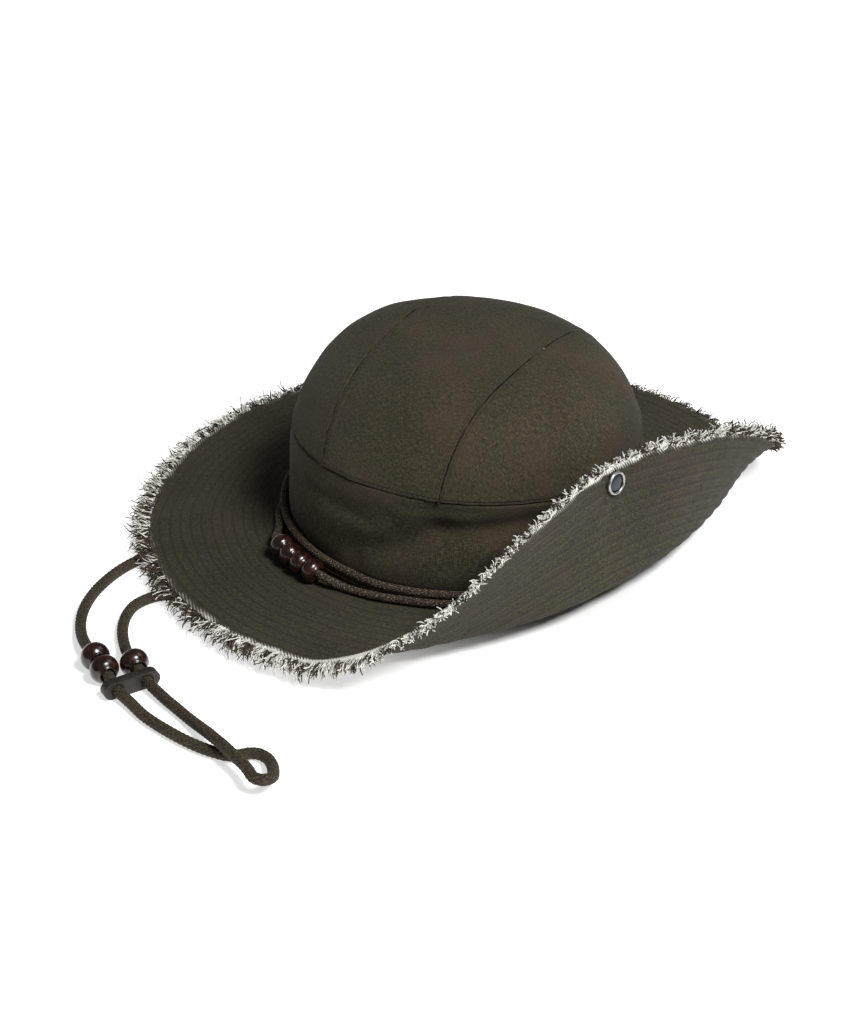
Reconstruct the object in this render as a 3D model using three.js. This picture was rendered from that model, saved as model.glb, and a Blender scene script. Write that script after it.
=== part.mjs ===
// Safari hat in dark olive-brown cotton canvas: a domed crown on a low band, a wide brim turned up
// and snapped on the wearer's left, a frayed brim edge, a doubled braided hatband with four beads,
// and a braided chin cord with three beads, a slider and an end loop, lying on the table in front.
// Millimetres, +Z up. The wearer looks along -Y and the wearer's left is +X. The hat rests on z = 0.
import * as THREE from 'three';
import { mergeVertices } from 'three/addons/utils/BufferGeometryUtils.js';

// Crown: half axes at the brim, height above the brim joint, and how square its curve is
const CROWN_HALF_LENGTH = 94.2;
const CROWN_HALF_WIDTH = 93.2;
const CROWN_HEIGHT = 101.5;
const CROWN_STRAIGHT_HEIGHT = 5;
const CROWN_ROUNDNESS = 3.2;
const CROWN_WALL = 1.6;
const BAND_WALL = 2.0;
// Height of the seam between band and crown, above the brim joint
const BAND_HEIGHT_FRONT = 56.5;
const BAND_HEIGHT_SIDE = 50;
const BAND_HEIGHT_REAR = 54;
// Half width of the centre panel over the top and at its two ends
const CENTER_PANEL_HALF_TOP = 37.5;
const CENTER_PANEL_HALF_END = 32.8;
// Length over which folds fade out next to the brim joint
const JOINT_FADE = 8;
// Gap that sewn pieces keep to each other
const SEAM_GAP = 0.3;
// Gap between the band and the sloping inner edge of the brim
const JOINT_GAP = 0.6;
// Faces of each panel from its front end to its rear end
const PANEL_STEPS = 16;

// Brim: width of the cloth at the front, the sides and the rear, its two quilted plies as one wall
const BRIM_WIDTH_FRONT = 73;
const BRIM_WIDTH_SIDE = 78.5;
const BRIM_WIDTH_REAR = 84.5;
// Extra width of the turned-up side, the angle where it is widest and how far it reaches
const BRIM_EXTRA_LEFT = 4;
const BRIM_EXTRA_ANGLE = 85;
const BRIM_EXTRA_REACH = 28;
const BRIM_WALL = 2.4;
// Height of the middle of the brim where it is sewn to the crown, above the table
const JOINT_HEIGHT = 10;
// Slope of the lying brim by angle from the front centre, positive towards the wearer's left
const BRIM_SLOPES = [
  { angle: -180, slope: -7.4 },
  { angle: -68, slope: -7.4 },
  { angle: -54, slope: -3.2 },
  { angle: -44, slope: -1.7 },
  { angle: -30, slope: -1.7 },
  { angle: -18, slope: -0.5 },
  { angle: 0, slope: 1.4 },
  { angle: 20, slope: 2.0 },
  { angle: 160, slope: -6.6 },
  { angle: 180, slope: -7.4 },
];
// Turned-up side: the way it faces, how far out of the crown its crease is, the crease's own curve
// round the crown and its tightness, and how far the cloth turns up in the middle and beside it
const TURN_UP_ANGLE = 77.5;
const CREASE_FROM_CROWN = 7.7;
const CREASE_CURVE_RADIUS = 251.3;
const CREASE_MIDDLE = 7.9;
const CREASE_RADIUS = 6;
const TURN_ANGLE = 95.6;
const TURN_RELAX_LENGTH = 187.65;

// Frayed edge: length of the locks past the cloth, the shares of it by which they vary along the
// edge, their number and how they hang at the front
const FRINGE_LENGTH = 12;
const FRINGE_USUAL_SHARE = 0.78;
const FRINGE_VARIED_SHARE = 0.22;
const FRINGE_WAVE_SHARE = 0.1;
const FRINGE_BACKING = 4;
const FRINGE_WALL = 2.2;
const FRINGE_TIP_WALL = 0.9;
const FRINGE_LOCKS = 106;
const FRINGE_HANG_CURVE = 1.3;
const FRINGE_HANG = [
  { angle: -180, share: 0 },
  { angle: -28, share: 0 },
  { angle: -15, share: 1 },
  { angle: 13, share: 1 },
  { angle: 26, share: 0.15 },
  { angle: 180, share: 0 },
];

// Press stud that holds the turned-up side: place on the brim, cap, ring and hidden post
const SNAP_ANGLE = 77;
const SNAP_FROM_EDGE = 9;
const SNAP_CAP_RADIUS = 6.2;
const SNAP_CAP_THICK = 1.6;
const SNAP_RING_WIDTH = 1.5;
const SNAP_RING_HEIGHT = 0.9;
const SNAP_POST_RADIUS = 3;
// Play left to the crown wall, which leans away from the post's flat end
const SNAP_POST_PLAY = 1.5;
// Room for the dished cloth under the cap and the post's end
const SNAP_SEAT_GAP = 0.3;
const SNAP_PULL = 5;
const SNAP_PULL_REACH = 26;
const CROWN_BULGE = 4;
const CROWN_BULGE_REACH = 24;

// Hatband: two braided strands and the beads on the lower one
const HATBAND_RADIUS = 2;
const HATBAND_UPPER_HEIGHT = 8;
// Play between the strands and the cloth
const HATBAND_PLAY = 0.5;
const HATBAND_LOWER_OUT = [
  { angle: -180, out: 0 },
  { angle: -62, out: 0 },
  { angle: -46, out: 4 },
  { angle: -33, out: 11.3 },
  { angle: -11, out: 11.3 },
  { angle: -2, out: 7.4 },
  { angle: 18, out: 4.2 },
  { angle: 42, out: 0 },
  { angle: 180, out: 0 },
];
const HATBAND_BEAD_RADIUS = 6.2;
const HATBAND_BEAD_LENGTH = 8.9;
const HATBAND_BEAD_HOLE = 2.5;
const HATBAND_BEAD_PLAY = 0.7;
const HATBAND_BEAD_COUNT = 4;
const HATBAND_BEAD_ANGLE = -22;

// Chin cord with its beads and slider
const CHIN_CORD_RADIUS = 2.7;
const CHIN_BEAD_RADIUS = 7.2;
const CHIN_BEAD_LENGTH = 10.6;
const CHIN_BEAD_HOLE = 3.9;
const SLIDER_LENGTH = 29;
const SLIDER_HEIGHT = 8.8;
const SLIDER_THICK = 4.8;
const SLIDER_HOLE = 3.4;
const SLIDER_HOLE_SPACING = 15.2;
const EAR_WIDTH = 7;
const EAR_DEPTH = 6.4;
const EAR_DROP = 9.5;
const CORD_EAR_GAP = 0.7;

// Folds and bulges of the soft band: ends as angle and share of the band height, depth inwards
const BAND_FOLDS = [
  { angle0: -38, share0: 0.73, angle1: 6, share1: 0.76, depth: 1.4, reach: 4.5 },
  { angle0: -4, share0: 0.38, angle1: 22, share1: 0.7, depth: 3.0, reach: 6.5 },
  { angle0: 22, share0: 0.7, angle1: 62, share1: 0.84, depth: 3.4, reach: 6 },
  { angle0: 4, share0: 0.18, angle1: 58, share1: 0.46, depth: -2.2, reach: 9 },
];
// Soft dents of the dome: angle, share of the way out from its middle, depth and reach. A depth
// below nothing is a bulge
const DOME_DENTS = [
  { angle: -30, out: 0.12, depth: 1.8, reach: 16 },
  { angle: 62, out: 0.62, depth: 1.6, reach: 14 },
  { angle: -100, out: 0.6, depth: -3, reach: 24 },
];

const degrees = Math.PI / 180;

// Share from 0 to 1 that starts and ends softly
function eased(share) {
  const s = Math.min(Math.max(share, 0), 1);
  return s * s * (3 - 2 * s);
}

// Value of one column of a table at an angle, eased from each row to the next
function fromTable(table, column, angle) {
  const next = table.findIndex((row) => row.angle > angle);
  if (next < 1) return table[next === 0 ? 0 : table.length - 1][column];
  const low = table[next - 1];
  const high = table[next];
  const part = eased((angle - low.angle) / (high.angle - low.angle));
  return low[column] + (high[column] - low[column]) * part;
}

// Value with a given size at the front, the sides and the rear
function roundValue(front, side, rear, angle) {
  const mean = (front + rear) / 4 + side / 2;
  const turn = angle * degrees;
  return mean + (front - rear) / 2 * Math.cos(turn) + (mean - side) * Math.cos(2 * turn);
}

// Closed solid of a sheet from its outer and inner faces, each a function of two shares.
// A ring joins its last row to its first. Faces that shrink to nothing at a pole are left out.
function sheetSolid(rows, columns, outer, inner, isRing) {
  const points = [];
  const rowCount = isRing ? rows.length - 1 : rows.length;
  for (const face of [outer, inner]) {
    for (let i = 0; i < rowCount; i += 1) {
      for (const column of columns) points.push(face(rows[i], column));
    }
  }
  const wide = columns.length;
  const side = rowCount * wide;
  const at = (face, i, j) => face * side + (i % rowCount) * wide + j;
  const triangles = [];
  const quad = (a, b, c, d) => triangles.push([a, b, c], [a, c, d]);
  for (let i = 0; i < rows.length - 1; i += 1) {
    for (let j = 0; j < wide - 1; j += 1) {
      quad(at(0, i, j), at(0, i + 1, j), at(0, i + 1, j + 1), at(0, i, j + 1));
      quad(at(1, i, j), at(1, i, j + 1), at(1, i + 1, j + 1), at(1, i + 1, j));
    }
    quad(at(0, i, 0), at(1, i, 0), at(1, i + 1, 0), at(0, i + 1, 0));
    quad(at(0, i, wide - 1), at(0, i + 1, wide - 1), at(1, i + 1, wide - 1), at(1, i, wide - 1));
  }
  if (!isRing) {
    for (let j = 0; j < wide - 1; j += 1) {
      quad(at(0, 0, j), at(0, 0, j + 1), at(1, 0, j + 1), at(1, 0, j));
      const last = rowCount - 1;
      quad(at(0, last, j), at(1, last, j), at(1, last, j + 1), at(0, last, j + 1));
    }
  }
  return weld(points, triangles);
}

// Geometry of shared points, with flat triangles dropped and all faces turned outwards
function weld(points, triangles) {
  const geometry = new THREE.BufferGeometry();
  const numbers = points.flatMap((p) => [p.x, p.y, p.z]);
  geometry.setAttribute('position', new THREE.Float32BufferAttribute(numbers, 3));
  geometry.setIndex(triangles.flat());
  const merged = mergeVertices(geometry, 0.001);
  const index = merged.getIndex().array;
  const position = merged.getAttribute('position');
  const kept = [];
  let volume = 0;
  const [a, b, c] = [new THREE.Vector3(), new THREE.Vector3(), new THREE.Vector3()];
  for (let i = 0; i < index.length; i += 3) {
    const [p, q, r] = [index[i], index[i + 1], index[i + 2]];
    if (p === q || q === r || r === p) continue;
    kept.push([p, q, r]);
    a.fromBufferAttribute(position, p);
    b.fromBufferAttribute(position, q);
    c.fromBufferAttribute(position, r);
    volume += a.dot(b.cross(c));
  }
  merged.setIndex((volume < 0 ? kept.map((t) => [t[0], t[2], t[1]]) : kept).flat());
  return merged;
}

function shares(count) {
  return Array.from({ length: count + 1 }, (_, i) => i / count);
}

// Crown form

function bandHeight(angle) {
  return roundValue(BAND_HEIGHT_FRONT, BAND_HEIGHT_SIDE, BAND_HEIGHT_REAR, angle);
}

// Share of the base axes that is left at a height above the joint, for a wall set in by an inset
function crownShare(height, inset) {
  const rise = CROWN_HEIGHT - inset - CROWN_STRAIGHT_HEIGHT;
  const h = Math.min(Math.max((height - CROWN_STRAIGHT_HEIGHT) / rise, 0), 1);
  return (1 - h ** CROWN_ROUNDNESS) ** (1 / CROWN_ROUNDNESS);
}

const domeCentre = new THREE.Vector3(0, 0, JOINT_HEIGHT + CROWN_STRAIGHT_HEIGHT);

// Point of the crown along a ray from a start inside it, found by halving the step
function crownRay(start, direction, inset) {
  const rise = CROWN_HEIGHT - inset - CROWN_STRAIGHT_HEIGHT;
  const isInside = (p) => {
    const across = Math.hypot(
      p.x / (CROWN_HALF_WIDTH - inset),
      p.y / (CROWN_HALF_LENGTH - inset),
    );
    const up = Math.max(p.z - domeCentre.z, 0) / rise;
    return across ** CROWN_ROUNDNESS + up ** CROWN_ROUNDNESS < 1;
  };
  let near = 0;
  let far = CROWN_HALF_LENGTH + CROWN_HEIGHT;
  const point = new THREE.Vector3();
  for (let turn = 0; turn < 40; turn += 1) {
    const middle = (near + far) / 2;
    point.copy(start).addScaledVector(direction, middle);
    if (isInside(point)) near = middle;
    else far = middle;
  }
  return point.clone();
}

const angleOf = (p) => Math.atan2(p.x / CROWN_HALF_WIDTH, -p.y / CROWN_HALF_LENGTH) / degrees;

// How far the cloth is pressed in at a place on the crown by its folds, dents and the stud's pull
function pressedIn(p) {
  const angle = angleOf(p);
  const height = p.z - JOINT_HEIGHT;
  const full = bandHeight(angle);
  let depth = 0;
  for (const fold of BAND_FOLDS) {
    const part = Math.min(Math.max((angle - fold.angle0) / (fold.angle1 - fold.angle0), 0), 1);
    const foldAngle = fold.angle0 + (fold.angle1 - fold.angle0) * part;
    const foldHeight = (fold.share0 + (fold.share1 - fold.share0) * part) * full;
    const along = (angle - foldAngle) * degrees * CROWN_HALF_LENGTH;
    const gap = Math.hypot(along, height - foldHeight);
    depth += fold.depth * Math.exp(-0.5 * (gap / fold.reach) ** 2);
  }
  for (const dent of DOME_DENTS) {
    const x = dent.out * CROWN_HALF_WIDTH * Math.sin(dent.angle * degrees);
    const y = -dent.out * CROWN_HALF_LENGTH * Math.cos(dent.angle * degrees);
    const isTop = height > full ? 1 : 0;
    depth += isTop * dent.depth * Math.exp(-0.5 * (Math.hypot(p.x - x, p.y - y) / dent.reach) ** 2);
  }
  const bulge = p.distanceTo(snapCrownPlace) / CROWN_BULGE_REACH;
  depth -= CROWN_BULGE * Math.exp(-0.5 * bulge * bulge);
  // All fade out towards the brim joint, where the seam holds the cloth
  return depth * eased((height - BRIM_WALL) / JOINT_FADE);
}

function pressed(p) {
  const inwards = new THREE.Vector3().subVectors(domeCentre, p);
  if (p.z < domeCentre.z + CROWN_HEIGHT / 3) inwards.z = 0;
  inwards.normalize();
  return p.clone().addScaledVector(inwards, pressedIn(p));
}

function bandPoint(angle, height, inset) {
  const share = crownShare(height, inset);
  return new THREE.Vector3(
    (CROWN_HALF_WIDTH - inset) * share * Math.sin(angle * degrees),
    -(CROWN_HALF_LENGTH - inset) * share * Math.cos(angle * degrees),
    JOINT_HEIGHT + height,
  );
}

// Half width of the centre panel at an angle over the top, 0 at the front end and 180 at the rear
function panelHalfWidth(over) {
  const ends = Math.cos(over * degrees) ** 2;
  return CENTER_PANEL_HALF_TOP + (CENTER_PANEL_HALF_END - CENTER_PANEL_HALF_TOP) * ends;
}

// Angle over the top at which the centre panel meets the band, at a distance from its middle line
function panelStart(x, isRear, inset) {
  let angle = isRear ? 180 : 0;
  let foot = null;
  for (let turn = 0; turn < 6; turn += 1) {
    foot = bandPoint(angle, bandHeight(angle) + SEAM_GAP, inset);
    const share = crownShare(bandHeight(angle) + SEAM_GAP, inset);
    const side = Math.asin(x / ((CROWN_HALF_WIDTH - inset) * share)) / degrees;
    angle = isRear ? 180 - side : side;
  }
  return Math.atan2(foot.z - domeCentre.z, Math.abs(foot.y)) / degrees;
}

// Point of the crown at a distance across from its middle line and an angle over the top
function overPoint(x, over, inset) {
  const start = new THREE.Vector3(x, 0, domeCentre.z);
  const way = new THREE.Vector3(0, -Math.cos(over * degrees), Math.sin(over * degrees));
  return crownRay(start, way, inset);
}

function centrePanel() {
  const face = (inset) => (along, across) => {
    const side = across * 2 - 1;
    const first = panelStart(Math.abs(side) * CENTER_PANEL_HALF_END, false, inset);
    const last = 180 - panelStart(Math.abs(side) * CENTER_PANEL_HALF_END, true, inset);
    const over = first + (last - first) * along;
    const x = side * (panelHalfWidth(over) - SEAM_GAP / 2);
    return pressed(overPoint(x, over, inset));
  };
  return sheetSolid(shares(PANEL_STEPS), shares(6), face(0), face(CROWN_WALL), false);
}

// Half-moon side panel between the centre panel's edge and the band, from the front to the rear
function sidePanel(sign) {
  const face = (inset) => {
    const end = CENTER_PANEL_HALF_END + SEAM_GAP / 2;
    const first = panelStart(CENTER_PANEL_HALF_END, false, inset);
    const last = 180 - panelStart(CENTER_PANEL_HALF_END, true, inset);
    const frontAngle = angleOf(overPoint(end, first, inset));
    const rearAngle = angleOf(overPoint(end, last, inset));
    return (along, down) => {
      const over = first + (last - first) * along;
      const top = overPoint(panelHalfWidth(over) + SEAM_GAP / 2, over, inset);
      const angle = frontAngle + (rearAngle - frontAngle) * along;
      const foot = bandPoint(angle, bandHeight(angle) + SEAM_GAP, inset);
      const way = top.sub(domeCentre).normalize().lerp(foot.sub(domeCentre).normalize(), down);
      const point = crownRay(domeCentre, way.normalize(), inset);
      point.x *= sign;
      return pressed(point);
    };
  };
  return sheetSolid(shares(PANEL_STEPS), shares(7), face(0), face(CROWN_WALL), false);
}

function crownBand() {
  const face = (inset) => (around, up) => {
    const angle = around * 360 - 180;
    const low = -BRIM_WALL / 2;
    const height = low + (bandHeight(angle) - low) * up;
    return pressed(bandPoint(angle, height, inset));
  };
  return sheetSolid(shares(60), shares(6), face(0), face(BAND_WALL), true);
}

// Brim form

const facing = new THREE.Vector2(
  Math.sin(TURN_UP_ANGLE * degrees),
  -Math.cos(TURN_UP_ANGLE * degrees),
);
const alongCrease = new THREE.Vector2(-facing.y, facing.x);

function brimWidth(angle) {
  const aside = (angle - BRIM_EXTRA_ANGLE) / BRIM_EXTRA_REACH;
  const extra = BRIM_EXTRA_LEFT * Math.exp(-0.5 * aside * aside);
  return roundValue(BRIM_WIDTH_FRONT, BRIM_WIDTH_SIDE, BRIM_WIDTH_REAR, angle) + extra;
}

// Place in the flat pattern of the brim, at an angle and a distance out from the crown
function flatPoint(angle, out) {
  const turn = angle * degrees;
  const outwards = new THREE.Vector2(
    Math.sin(turn) / CROWN_HALF_WIDTH,
    -Math.cos(turn) / CROWN_HALF_LENGTH,
  ).normalize();
  return new THREE.Vector2(
    CROWN_HALF_WIDTH * Math.sin(turn),
    -CROWN_HALF_LENGTH * Math.cos(turn),
  ).addScaledVector(outwards, out);
}

// Middle of the brim wall: the flat pattern laid sloping to the table, then turned up at the crease
function brimMiddle(angle, out) {
  const flat = flatPoint(angle, out);
  const distance = flat.dot(facing);
  const side = flat.dot(alongCrease);
  const beside = side - CREASE_MIDDLE;
  const crease = CROWN_HALF_WIDTH + CREASE_FROM_CROWN - beside ** 2 / (2 * CREASE_CURVE_RADIUS);
  const past = Math.max(distance - crease, 0);
  const turn = TURN_ANGLE * degrees * (1 - (beside / TURN_RELAX_LENGTH) ** 2);
  const bendLength = 1.5 * CREASE_RADIUS * turn;
  let reached = distance - past;
  let lift = 0;
  const steps = 24;
  for (let i = 0; i < steps; i += 1) {
    const lean = turn * eased(past * (i + 0.5) / steps / bendLength);
    reached += Math.cos(lean) * past / steps;
    lift += Math.sin(lean) * past / steps;
  }
  const slope = Math.tan(fromTable(BRIM_SLOPES, 'slope', angle) * degrees);
  const lying = JOINT_HEIGHT + out * slope;
  const pulled = flat.distanceTo(snapFlat) / SNAP_PULL_REACH;
  reached -= SNAP_PULL * Math.exp(-0.5 * pulled * pulled) * eased(out / JOINT_FADE);
  return new THREE.Vector3(
    facing.x * reached + alongCrease.x * side,
    facing.y * reached + alongCrease.y * side,
    Math.max(lying + lift, BRIM_WALL / 2),
  );
}

// Unit direction square to the brim, upwards on its lying part and towards the crown where turned up
function brimNormal(angle, out) {
  const step = 0.5;
  const outwards = brimMiddle(angle, out + step).sub(brimMiddle(angle, out - step));
  const around = brimMiddle(angle + step, out).sub(brimMiddle(angle - step, out));
  return outwards.cross(around).normalize();
}

function brimFace(angle, out, offset) {
  const point = brimMiddle(angle, out).addScaledVector(brimNormal(angle, out), offset);
  point.z = Math.max(point.z, offset < 0 ? 0 : BRIM_WALL);
  return point;
}

const snapFlat = flatPoint(SNAP_ANGLE, brimWidth(SNAP_ANGLE) - SNAP_FROM_EDGE);
const snapBrimPlace = brimMiddle(SNAP_ANGLE, brimWidth(SNAP_ANGLE) - SNAP_FROM_EDGE);
// Place on the plain crown across from the stud, where its pull raises the bulge
const snapCrownPlace = bandPoint(angleOf(snapBrimPlace), snapBrimPlace.z - JOINT_HEIGHT, 0);

// Rows of the brim's faces as shares of its width. The last stretch lies flat on the table
const BRIM_ROWS = [0, 0.1, 0.2, 0.3, 0.42, 0.64, 0.88, 1];

function brim() {
  const face = (offset) => (around, share) => {
    const angle = around * 360 - 180;
    const out = JOINT_GAP + (brimWidth(angle) - JOINT_GAP) * share;
    return brimFace(angle, out, offset);
  };
  return sheetSolid(shares(84), BRIM_ROWS, face(BRIM_WALL / 2), face(-BRIM_WALL / 2), true);
}

// Frayed edge: a narrow backing strip along the cloth's edge with tapered locks fused to it.
// Each lock has a root on both sides of its tip, and its length varies along the edge.
function brimFringe() {
  const steps = FRINGE_LOCKS * 2;
  const hang = (angle, out, point) => {
    const reach = (out - brimWidth(angle)) / FRINGE_LENGTH;
    const drop = fromTable(FRINGE_HANG, 'share', angle) * (point.z - FRINGE_TIP_WALL / 2);
    point.z -= drop * Math.min(reach, 1) ** FRINGE_HANG_CURVE;
    return point;
  };
  const face = (sign) => (around, share) => {
    const step = Math.round(around * steps) % steps;
    const isTip = step % 2 === 1;
    const varied = FRINGE_VARIED_SHARE * Math.sin(step * 2.4);
    const wave = FRINGE_WAVE_SHARE * Math.sin(step * 0.37);
    const tip = FRINGE_LENGTH * (FRINGE_USUAL_SHARE + varied + wave);
    const length = isTip ? tip : FRINGE_BACKING;
    const angle = step / steps * 360 - 180;
    const edge = brimWidth(angle) + SEAM_GAP;
    const out = edge + (length - SEAM_GAP) * share;
    const wall = share > 0 && isTip ? FRINGE_TIP_WALL : FRINGE_WALL;
    const point = hang(angle, out, brimMiddle(angle, out));
    point.z = Math.max(point.z - (BRIM_WALL - wall) / 2, wall / 2);
    point.addScaledVector(brimNormal(angle, out), sign * wall / 2);
    point.z = Math.max(point.z, sign < 0 ? 0 : wall);
    return point;
  };
  return sheetSolid(shares(steps), [0, 1], face(1), face(-1), true);
}

// Hatband

function strandPoint(angle, out, height) {
  const flat = flatPoint(angle, out);
  return new THREE.Vector3(flat.x, flat.y, JOINT_HEIGHT + height);
}

// How far the lower strand stands off the brim to run through its beads
function beadLift(angle) {
  const half = HATBAND_BEAD_COUNT * beadStep() / 2;
  return 1 - eased((Math.abs(angle - HATBAND_BEAD_ANGLE) - half) / 8);
}

function beadStep() {
  const radius = CROWN_HALF_LENGTH + strandGap + fromTable(HATBAND_LOWER_OUT, 'out', HATBAND_BEAD_ANGLE);
  return (HATBAND_BEAD_LENGTH + HATBAND_BEAD_PLAY) / radius / degrees;
}

const strandGap = HATBAND_RADIUS + HATBAND_PLAY;

function pressedStrand(point, out) {
  // The upper strand follows the bulges of the band that it is tied round
  const wall = bandPoint(angleOf(point), point.z - JOINT_HEIGHT, 0);
  const bulged = Math.max(-pressedIn(wall), 0);
  return flatPoint(angleOf(point), out + bulged + SEAM_GAP);
}

function upperStrand() {
  const points = shares(56).slice(0, -1).map((share) => {
    const angle = share * 360 - 180;
    const point = strandPoint(angle, strandGap, HATBAND_UPPER_HEIGHT);
    const flat = pressedStrand(point, strandGap);
    return new THREE.Vector3(flat.x, flat.y, point.z);
  });
  return ringTube(points, HATBAND_RADIUS);
}

function lowerStrandPoint(angle) {
  const out = strandGap + fromTable(HATBAND_LOWER_OUT, 'out', angle);
  const lying = brimFace(angle, out, BRIM_WALL / 2).z - JOINT_HEIGHT + strandGap;
  const threaded = BRIM_WALL / 2 + SEAM_GAP + HATBAND_BEAD_RADIUS;
  const lift = beadLift(angle);
  return strandPoint(angle, out, lying * (1 - lift) + threaded * lift);
}

function lowerStrand() {
  const points = shares(64).slice(0, -1).map((share) => lowerStrandPoint(share * 360 - 180));
  return ringTube(points, HATBAND_RADIUS);
}

function ringTube(points, radius) {
  const route = new THREE.CatmullRomCurve3(points, true);
  const tube = new THREE.TubeGeometry(route, points.length, radius, 6, true);
  tube.deleteAttribute('normal');
  tube.deleteAttribute('uv');
  return mergeVertices(tube, 0.001);
}

// Round bead drilled through along Z, its faces pulled in round the hole
function beadGeometry(radius, length, hole) {
  const half = length / 2;
  const profile = [
    [hole, -half * 0.92],
    [radius * 0.66, -half],
    [radius * 0.94, -half * 0.5],
    [radius, 0],
    [radius * 0.94, half * 0.5],
    [radius * 0.66, half],
    [hole, half * 0.92],
    [hole, -half * 0.92],
  ];
  return new THREE.LatheGeometry(profile.map(([r, y]) => new THREE.Vector2(r, y)), 12)
    .rotateX(Math.PI / 2);
}

// Chin cord route from the ear on the wearer's right, out under the brim, round the end loop and
// back under the brim to the ear on the wearer's left. Distances are from the crown's middle.
const earMiddle = CROWN_HALF_WIDTH - BAND_WALL - SEAM_GAP - EAR_DEPTH / 2;
const earFront = -EAR_WIDTH / 2 - CORD_EAR_GAP;
const CHIN_CORD_ROUTE = [
  [-earMiddle, earFront, 3], [-earMiddle, -14, 3], [-earMiddle - 2.4, -40, 3],
  [-99, -72, 3], [-121.6, -125.7, 3], [-123.9, -140.5, 3], [-122, -160, 3],
  [-115.9, -177, 3], [-106.6, -190.5, 3.2], [-93.9, -202.2, 5.8], [-81.3, -209.8, 7.2],
  [-71.1, -215.6, 7.2], [-62, -220.5, 4.8], [-56.3, -223.4, 4.2], [-46.4, -226.7, 3.3],
  [-34.3, -231.2, 3], [-12.9, -235.3, 3], [0.6, -236.3, 3], [8.8, -235.8, 3],
  [15.2, -234.6, 3], [19.8, -231.7, 3], [22.9, -228.2, 3], [27, -226.2, 3],
  [32.1, -226.8, 3], [37.7, -230.9, 4.2], [42.6, -236.6, 6.4], [45.8, -242, 8],
  [44.8, -247.2, 9.4], [40.4, -248.4, 9.8], [35.4, -245.4, 9.6], [31, -242.9, 9.4],
  [24.5, -240.2, 9.3], [18.8, -237.9, 9.4], [14.2, -236.1, 9.4], [9.4, -234.2, 9],
  [1.6, -230, 7], [-7.7, -225.4, 4.6], [-17.4, -221.4, 3.2], [-25.5, -218.4, 3],
  [-34.4, -215.5, 3.2], [-49.2, -210, 4.2], [-54.6, -207.2, 4.8], [-57.6, -206.3, 6.4],
  [-62, -204, 7.2], [-66.3, -201.5, 7.5], [-72.5, -196.9, 6], [-78.7, -190.9, 3.6],
  [-84.7, -184.9, 3], [-90.1, -178, 3], [-94.7, -169.4, 3], [-96.9, -158.7, 3],
  [-92, -146.5, 3], [-78, -139, 3], [-45, -137, 3], [-5, -133, 3], [34, -116, 3],
  [54, -90, 3], [70, -60, 3], [82.5, -31, 3], [earMiddle, earFront, 3],
];
// Where the beads are threaded on the cord, and the slider's middle and the way through its holes
const CHIN_BEADS = [
  { x: -81.3, y: -209.8 },
  { x: -71.1, y: -215.6 },
  { x: -62, y: -204 },
];
const SLIDER_PLACE = { x: -55.7, y: -215.2, wayX: 0.89, wayY: -0.45 };

const chinRoute = new THREE.CatmullRomCurve3(
  CHIN_CORD_ROUTE.map(([x, y, z]) => new THREE.Vector3(x, y, z)),
  false,
  'centripetal',
);

// Share of the cord's length at which it passes closest to a place on the table
function chinShareAt(place) {
  let best = 0;
  let least = Infinity;
  for (const share of shares(1200)) {
    const point = chinRoute.getPointAt(share);
    const gap = Math.hypot(point.x - place.x, point.y - place.y);
    if (gap < least) [best, least] = [share, gap];
  }
  return best;
}

function chinCord() {
  const section = new THREE.Shape();
  for (let i = 0; i < 8; i += 1) {
    const turn = (i + 0.5) / 8 * 2 * Math.PI;
    const [x, y] = [CHIN_CORD_RADIUS * Math.cos(turn), CHIN_CORD_RADIUS * Math.sin(turn)];
    if (i === 0) section.moveTo(x, y);
    else section.lineTo(x, y);
  }
  section.closePath();
  const tube = new THREE.ExtrudeGeometry(section, { steps: 78, extrudePath: chinRoute });
  tube.deleteAttribute('normal');
  tube.deleteAttribute('uv');
  return mergeVertices(tube, 0.001);
}

// Oblong slider with round ends and two holes for the strands, drilled along Z
function sliderGeometry() {
  const end = SLIDER_HEIGHT / 2;
  const half = SLIDER_LENGTH / 2 - end;
  const outline = new THREE.Shape();
  outline.moveTo(-half, -end);
  outline.lineTo(half, -end);
  outline.absarc(half, 0, end, -Math.PI / 2, Math.PI / 2, false);
  outline.lineTo(-half, end);
  outline.absarc(-half, 0, end, Math.PI / 2, Math.PI * 1.5, false);
  for (const x of [-SLIDER_HOLE_SPACING / 2, SLIDER_HOLE_SPACING / 2]) {
    const hole = new THREE.Path();
    hole.absarc(x, 0, SLIDER_HOLE, 0, Math.PI * 2, true);
    outline.holes.push(hole);
  }
  const depth = SLIDER_THICK;
  return new THREE.ExtrudeGeometry(outline, { depth, bevelEnabled: false, curveSegments: 8 })
    .translate(0, 0, -depth / 2);
}

// Ring-and-cap face of the press stud, its flat back at z = 0
function snapCapGeometry() {
  const rim = SNAP_CAP_RADIUS;
  const well = rim - SNAP_RING_WIDTH;
  const top = SNAP_CAP_THICK;
  const profile = [
    [0, 0],
    [rim, 0],
    [rim, top],
    [well + SNAP_RING_WIDTH / 2, top + SNAP_RING_HEIGHT],
    [well, top],
    [0, top],
  ];
  return new THREE.LatheGeometry(profile.map(([r, y]) => new THREE.Vector2(r, y)), 20)
    .rotateX(Math.PI / 2);
}

const canvas = { color: 0x4a4738, roughness: 0.92, metalness: 0 };
const yarn = { color: 0x9a968a, roughness: 0.95, metalness: 0 };
const braid = { color: 0x3a3127, roughness: 0.85, metalness: 0 };
const wood = { color: 0x3a1c16, roughness: 0.3, metalness: 0 };
const metal = { color: 0x6d7176, roughness: 0.35, metalness: 0.9 };
const slider = { color: 0x2c2722, roughness: 0.6, metalness: 0 };

const hat = new THREE.Group();

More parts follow.
